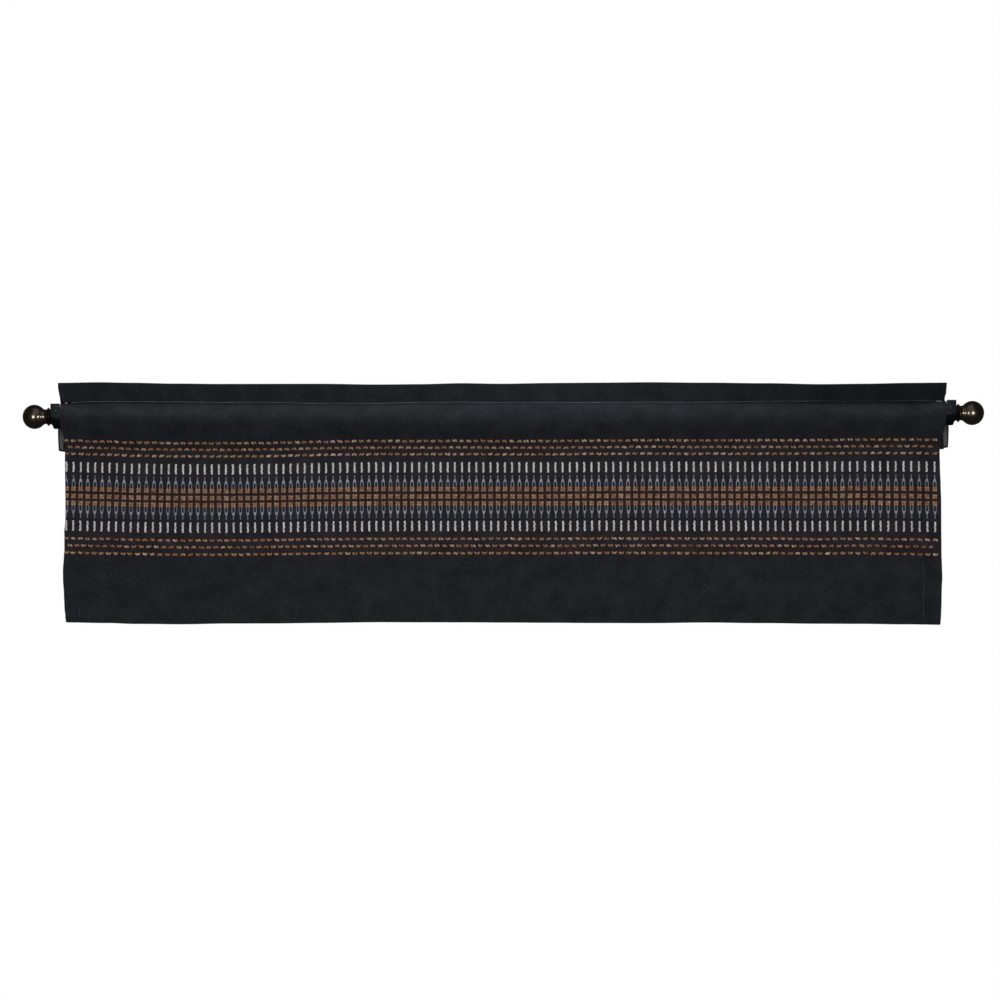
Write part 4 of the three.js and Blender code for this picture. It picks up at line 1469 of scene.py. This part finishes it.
# The left bracket's paint is greenish and the right one's bluish.
# Their third colour is painted shade below the pole's axis.
bracket_looks = {
    "left": paint_material(
        "bracket_paint_green", (24, 32, 30), (30, 38, 36), (8, 12, 13), 0.42, shine=0.04, **PLATE_PAINTED_LIGHT_AND_RIM
    ),
    "right": paint_material(
        "bracket_paint_blue", (20, 26, 31), (26, 32, 37), (7, 11, 14), 0.42, shine=0.04, **PLATE_PAINTED_LIGHT_AND_RIM
    ),
}
bronze_look = bronze_material()
steel_look = steel_material()
ORANGE_TONES = [
    (0.0, (96, 56, 42)),
    (0.3, (132, 94, 67)),
    (0.6, (148, 112, 85)),
    (0.85, (167, 141, 119)),
    (1.0, (189, 171, 157)),
]
PALE_TONES = [(0.0, (176, 174, 173)), (0.5, (199, 199, 198)), (1.0, (216, 217, 217))]
BLUE_TONES = [(0.0, (88, 90, 100)), (0.45, (114, 116, 126)), (0.8, (140, 143, 152)), (1.0, (160, 163, 171))]
THREAD_TONES = [(0.0, (86, 92, 104)), (0.6, (160, 165, 178)), (1.0, (216, 220, 228))]

rng = random.Random(17)
cloth = Cloth()
fine_cloth = cloth.build(cloth_material())
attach(fine_cloth, BODY)
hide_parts("valance_cloth")

orange, pale, blue = weave_border(cloth, rng)
border = [
    orange.build("border_orange", yarn_material("orange_yarn", ORANGE_TONES)),
    pale.build("border_bars", yarn_material("pale_yarn", PALE_TONES)),
    blue.build("border_blue", yarn_material("blue_grey_yarn", BLUE_TONES)),
    sewing(cloth, rng).build("sewing_thread", yarn_material("sewing_thread", THREAD_TONES)),
]
for piece in border:
    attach(piece, BODY)

middle_path, middle_body = section_at(0, LAYER_SPACING)

pole_piece = lathe("pole_fine", pole_profile(), pole_look)
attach(pole_piece, BODY)
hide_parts("pole")

for hand, flip in (("left", True), ("right", False)):
    bracket_piece = bracket(f"bracket_{hand}_fine", bracket_looks[hand], flip)
    screw_piece = set_screw(f"set_screw_{hand}_fine", steel_look, flip)
    finial_piece = lathe(f"finial_{hand}_fine", finial_profile(), bronze_look, flip)
    for piece, node in (
        (bracket_piece, f"bracket_{hand}"),
        (screw_piece, f"set_screw_{hand}"),
        (finial_piece, f"finial_{hand}"),
    ):
        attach(piece, BODY)
        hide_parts(node)


# ---------------------------------------------------------------- floor, world, lamps and camera

scene = bpy.context.scene


FLOOR = {"z": -1.2, "half_width": 3.0, "front": -3.0, "back": 0.5}
AMBIENT = 0.12           # how strongly the world lights matte surfaces
ROOM_IN_GLOSS = 0.06     # and what reflections see of it, all round but behind


def white_floor():
    """White to the camera, duller to the light it throws back, and left out of reflections."""
    mesh = bpy.data.meshes.new("floor")
    half, z = FLOOR["half_width"], FLOOR["z"]
    corners = [(-half, FLOOR["front"]), (half, FLOOR["front"]), (half, FLOOR["back"]), (-half, FLOOR["back"])]
    mesh.from_pydata([(x, y, z) for x, y in corners], [], [(0, 1, 2, 3)])
    material, n = new_material("floor_white")
    seen = n.add("ShaderNodeLightPath").outputs["Is Camera Ray"]
    finish_material(n, {"Base Color": n.mix(seen, (0.25, 0.25, 0.25), (0.9, 0.9, 0.9)), "Roughness": 0.9})
    mesh.materials.append(material)
    floor = bpy.data.objects.new("floor", mesh)
    floor.visible_glossy = False
    scene.collection.objects.link(floor)


def studio_world():
    """White behind the object for the camera; reflections see a dim room with a white patch behind."""
    world = bpy.data.worlds.new("studio")
    scene.world = world
    world.use_nodes = True
    n = Nodes(world.node_tree)
    rays = n.add("ShaderNodeLightPath").outputs
    behind = n.part(n.add("ShaderNodeTexCoord").outputs["Generated"], 1)
    patch = n.range(behind, 0.985, 0.998, ROOM_IN_GLOSS, 1.0, smooth=True)
    seen = n.math("MAXIMUM", rays["Is Glossy Ray"], rays["Is Transmission Ray"])
    strength = n.plus(n.times(seen, n.math("SUBTRACT", patch, AMBIENT)), AMBIENT)
    camera_ray = rays["Is Camera Ray"]
    strength = n.math("MAXIMUM", n.times(strength, n.math("SUBTRACT", 1.0, camera_ray)), camera_ray)
    background = n.add("ShaderNodeBackground", {"Color": (1, 1, 1, 1), "Strength": strength})
    output = n.add("ShaderNodeOutputWorld")
    world.node_tree.links.new(background.outputs[0], output.inputs[0])


# Each lamp by the way it stands from the object, its distance and size in metres, the share of full white
# that it alone gives a surface facing it, and whether it lights matte surfaces or shows in glossy ones.
LAMPS = table(
    "name azimuth elevation distance size share lights",
    ("front", 0, 3, 2.4, (2.3, 1.75), 0.7, "matte"),
    ("left_box", -31, 4, 1.3, (0.38, 0.38), 0.52, "gloss"),
    ("right_box", 31, 4, 1.3, (0.38, 0.38), 0.52, "gloss"),
    ("ceiling", 0, 59, 1.35, (1.7, 1.5), 0.18, "gloss"),
    ("overhead", 0, 84, 2.6, (3.0, 1.4), 1.5, "matte"),
    ("back", 180, 25, 3.2, (2.4, 1.6), 1.4, "matte"),
)
LIT_PLACE = Vector((0, POLE_Y * MM, -0.15))
CAMERA = {"place": (-0.0064, -3.07, -0.1473), "lens": 62.352, "roll": 0.00413}


def add_lamp(row):
    data = bpy.data.lights.new(row["name"], "AREA")
    data.shape = "RECTANGLE"
    data.size, data.size_y = row["size"]
    data.energy = row["share"] * math.pi**2 * row["distance"] ** 2
    lamp = bpy.data.objects.new(row["name"], data)
    azimuth, elevation = math.radians(row["azimuth"]), math.radians(row["elevation"])
    level = math.cos(elevation)
    toward = Vector((math.sin(azimuth) * level, -math.cos(azimuth) * level, math.sin(elevation)))
    lamp.location = LIT_PLACE + toward * row["distance"]
    lamp.rotation_mode = "QUATERNION"
    lamp.rotation_quaternion = toward.to_track_quat("Z", "Y")
    lamp.visible_camera = False
    lamp.visible_glossy = row["lights"] == "gloss"
    lamp.visible_diffuse = row["lights"] == "matte"
    scene.collection.objects.link(lamp)


def add_camera():
    """Level and square on, a little below the pole, and slightly rolled."""
    data = bpy.data.cameras.new("camera")
    data.lens = CAMERA["lens"]
    data.sensor_width = 36
    data.clip_start = 0.05
    data.clip_end = 60
    camera = bpy.data.objects.new("camera", data)
    camera.location = CAMERA["place"]
    camera.rotation_euler = (math.pi / 2, CAMERA["roll"], 0)
    scene.collection.objects.link(camera)
    scene.camera = camera


white_floor()
studio_world()
for row in LAMPS:
    add_lamp(row)
add_camera()
scene.view_settings.view_transform = "Standard"
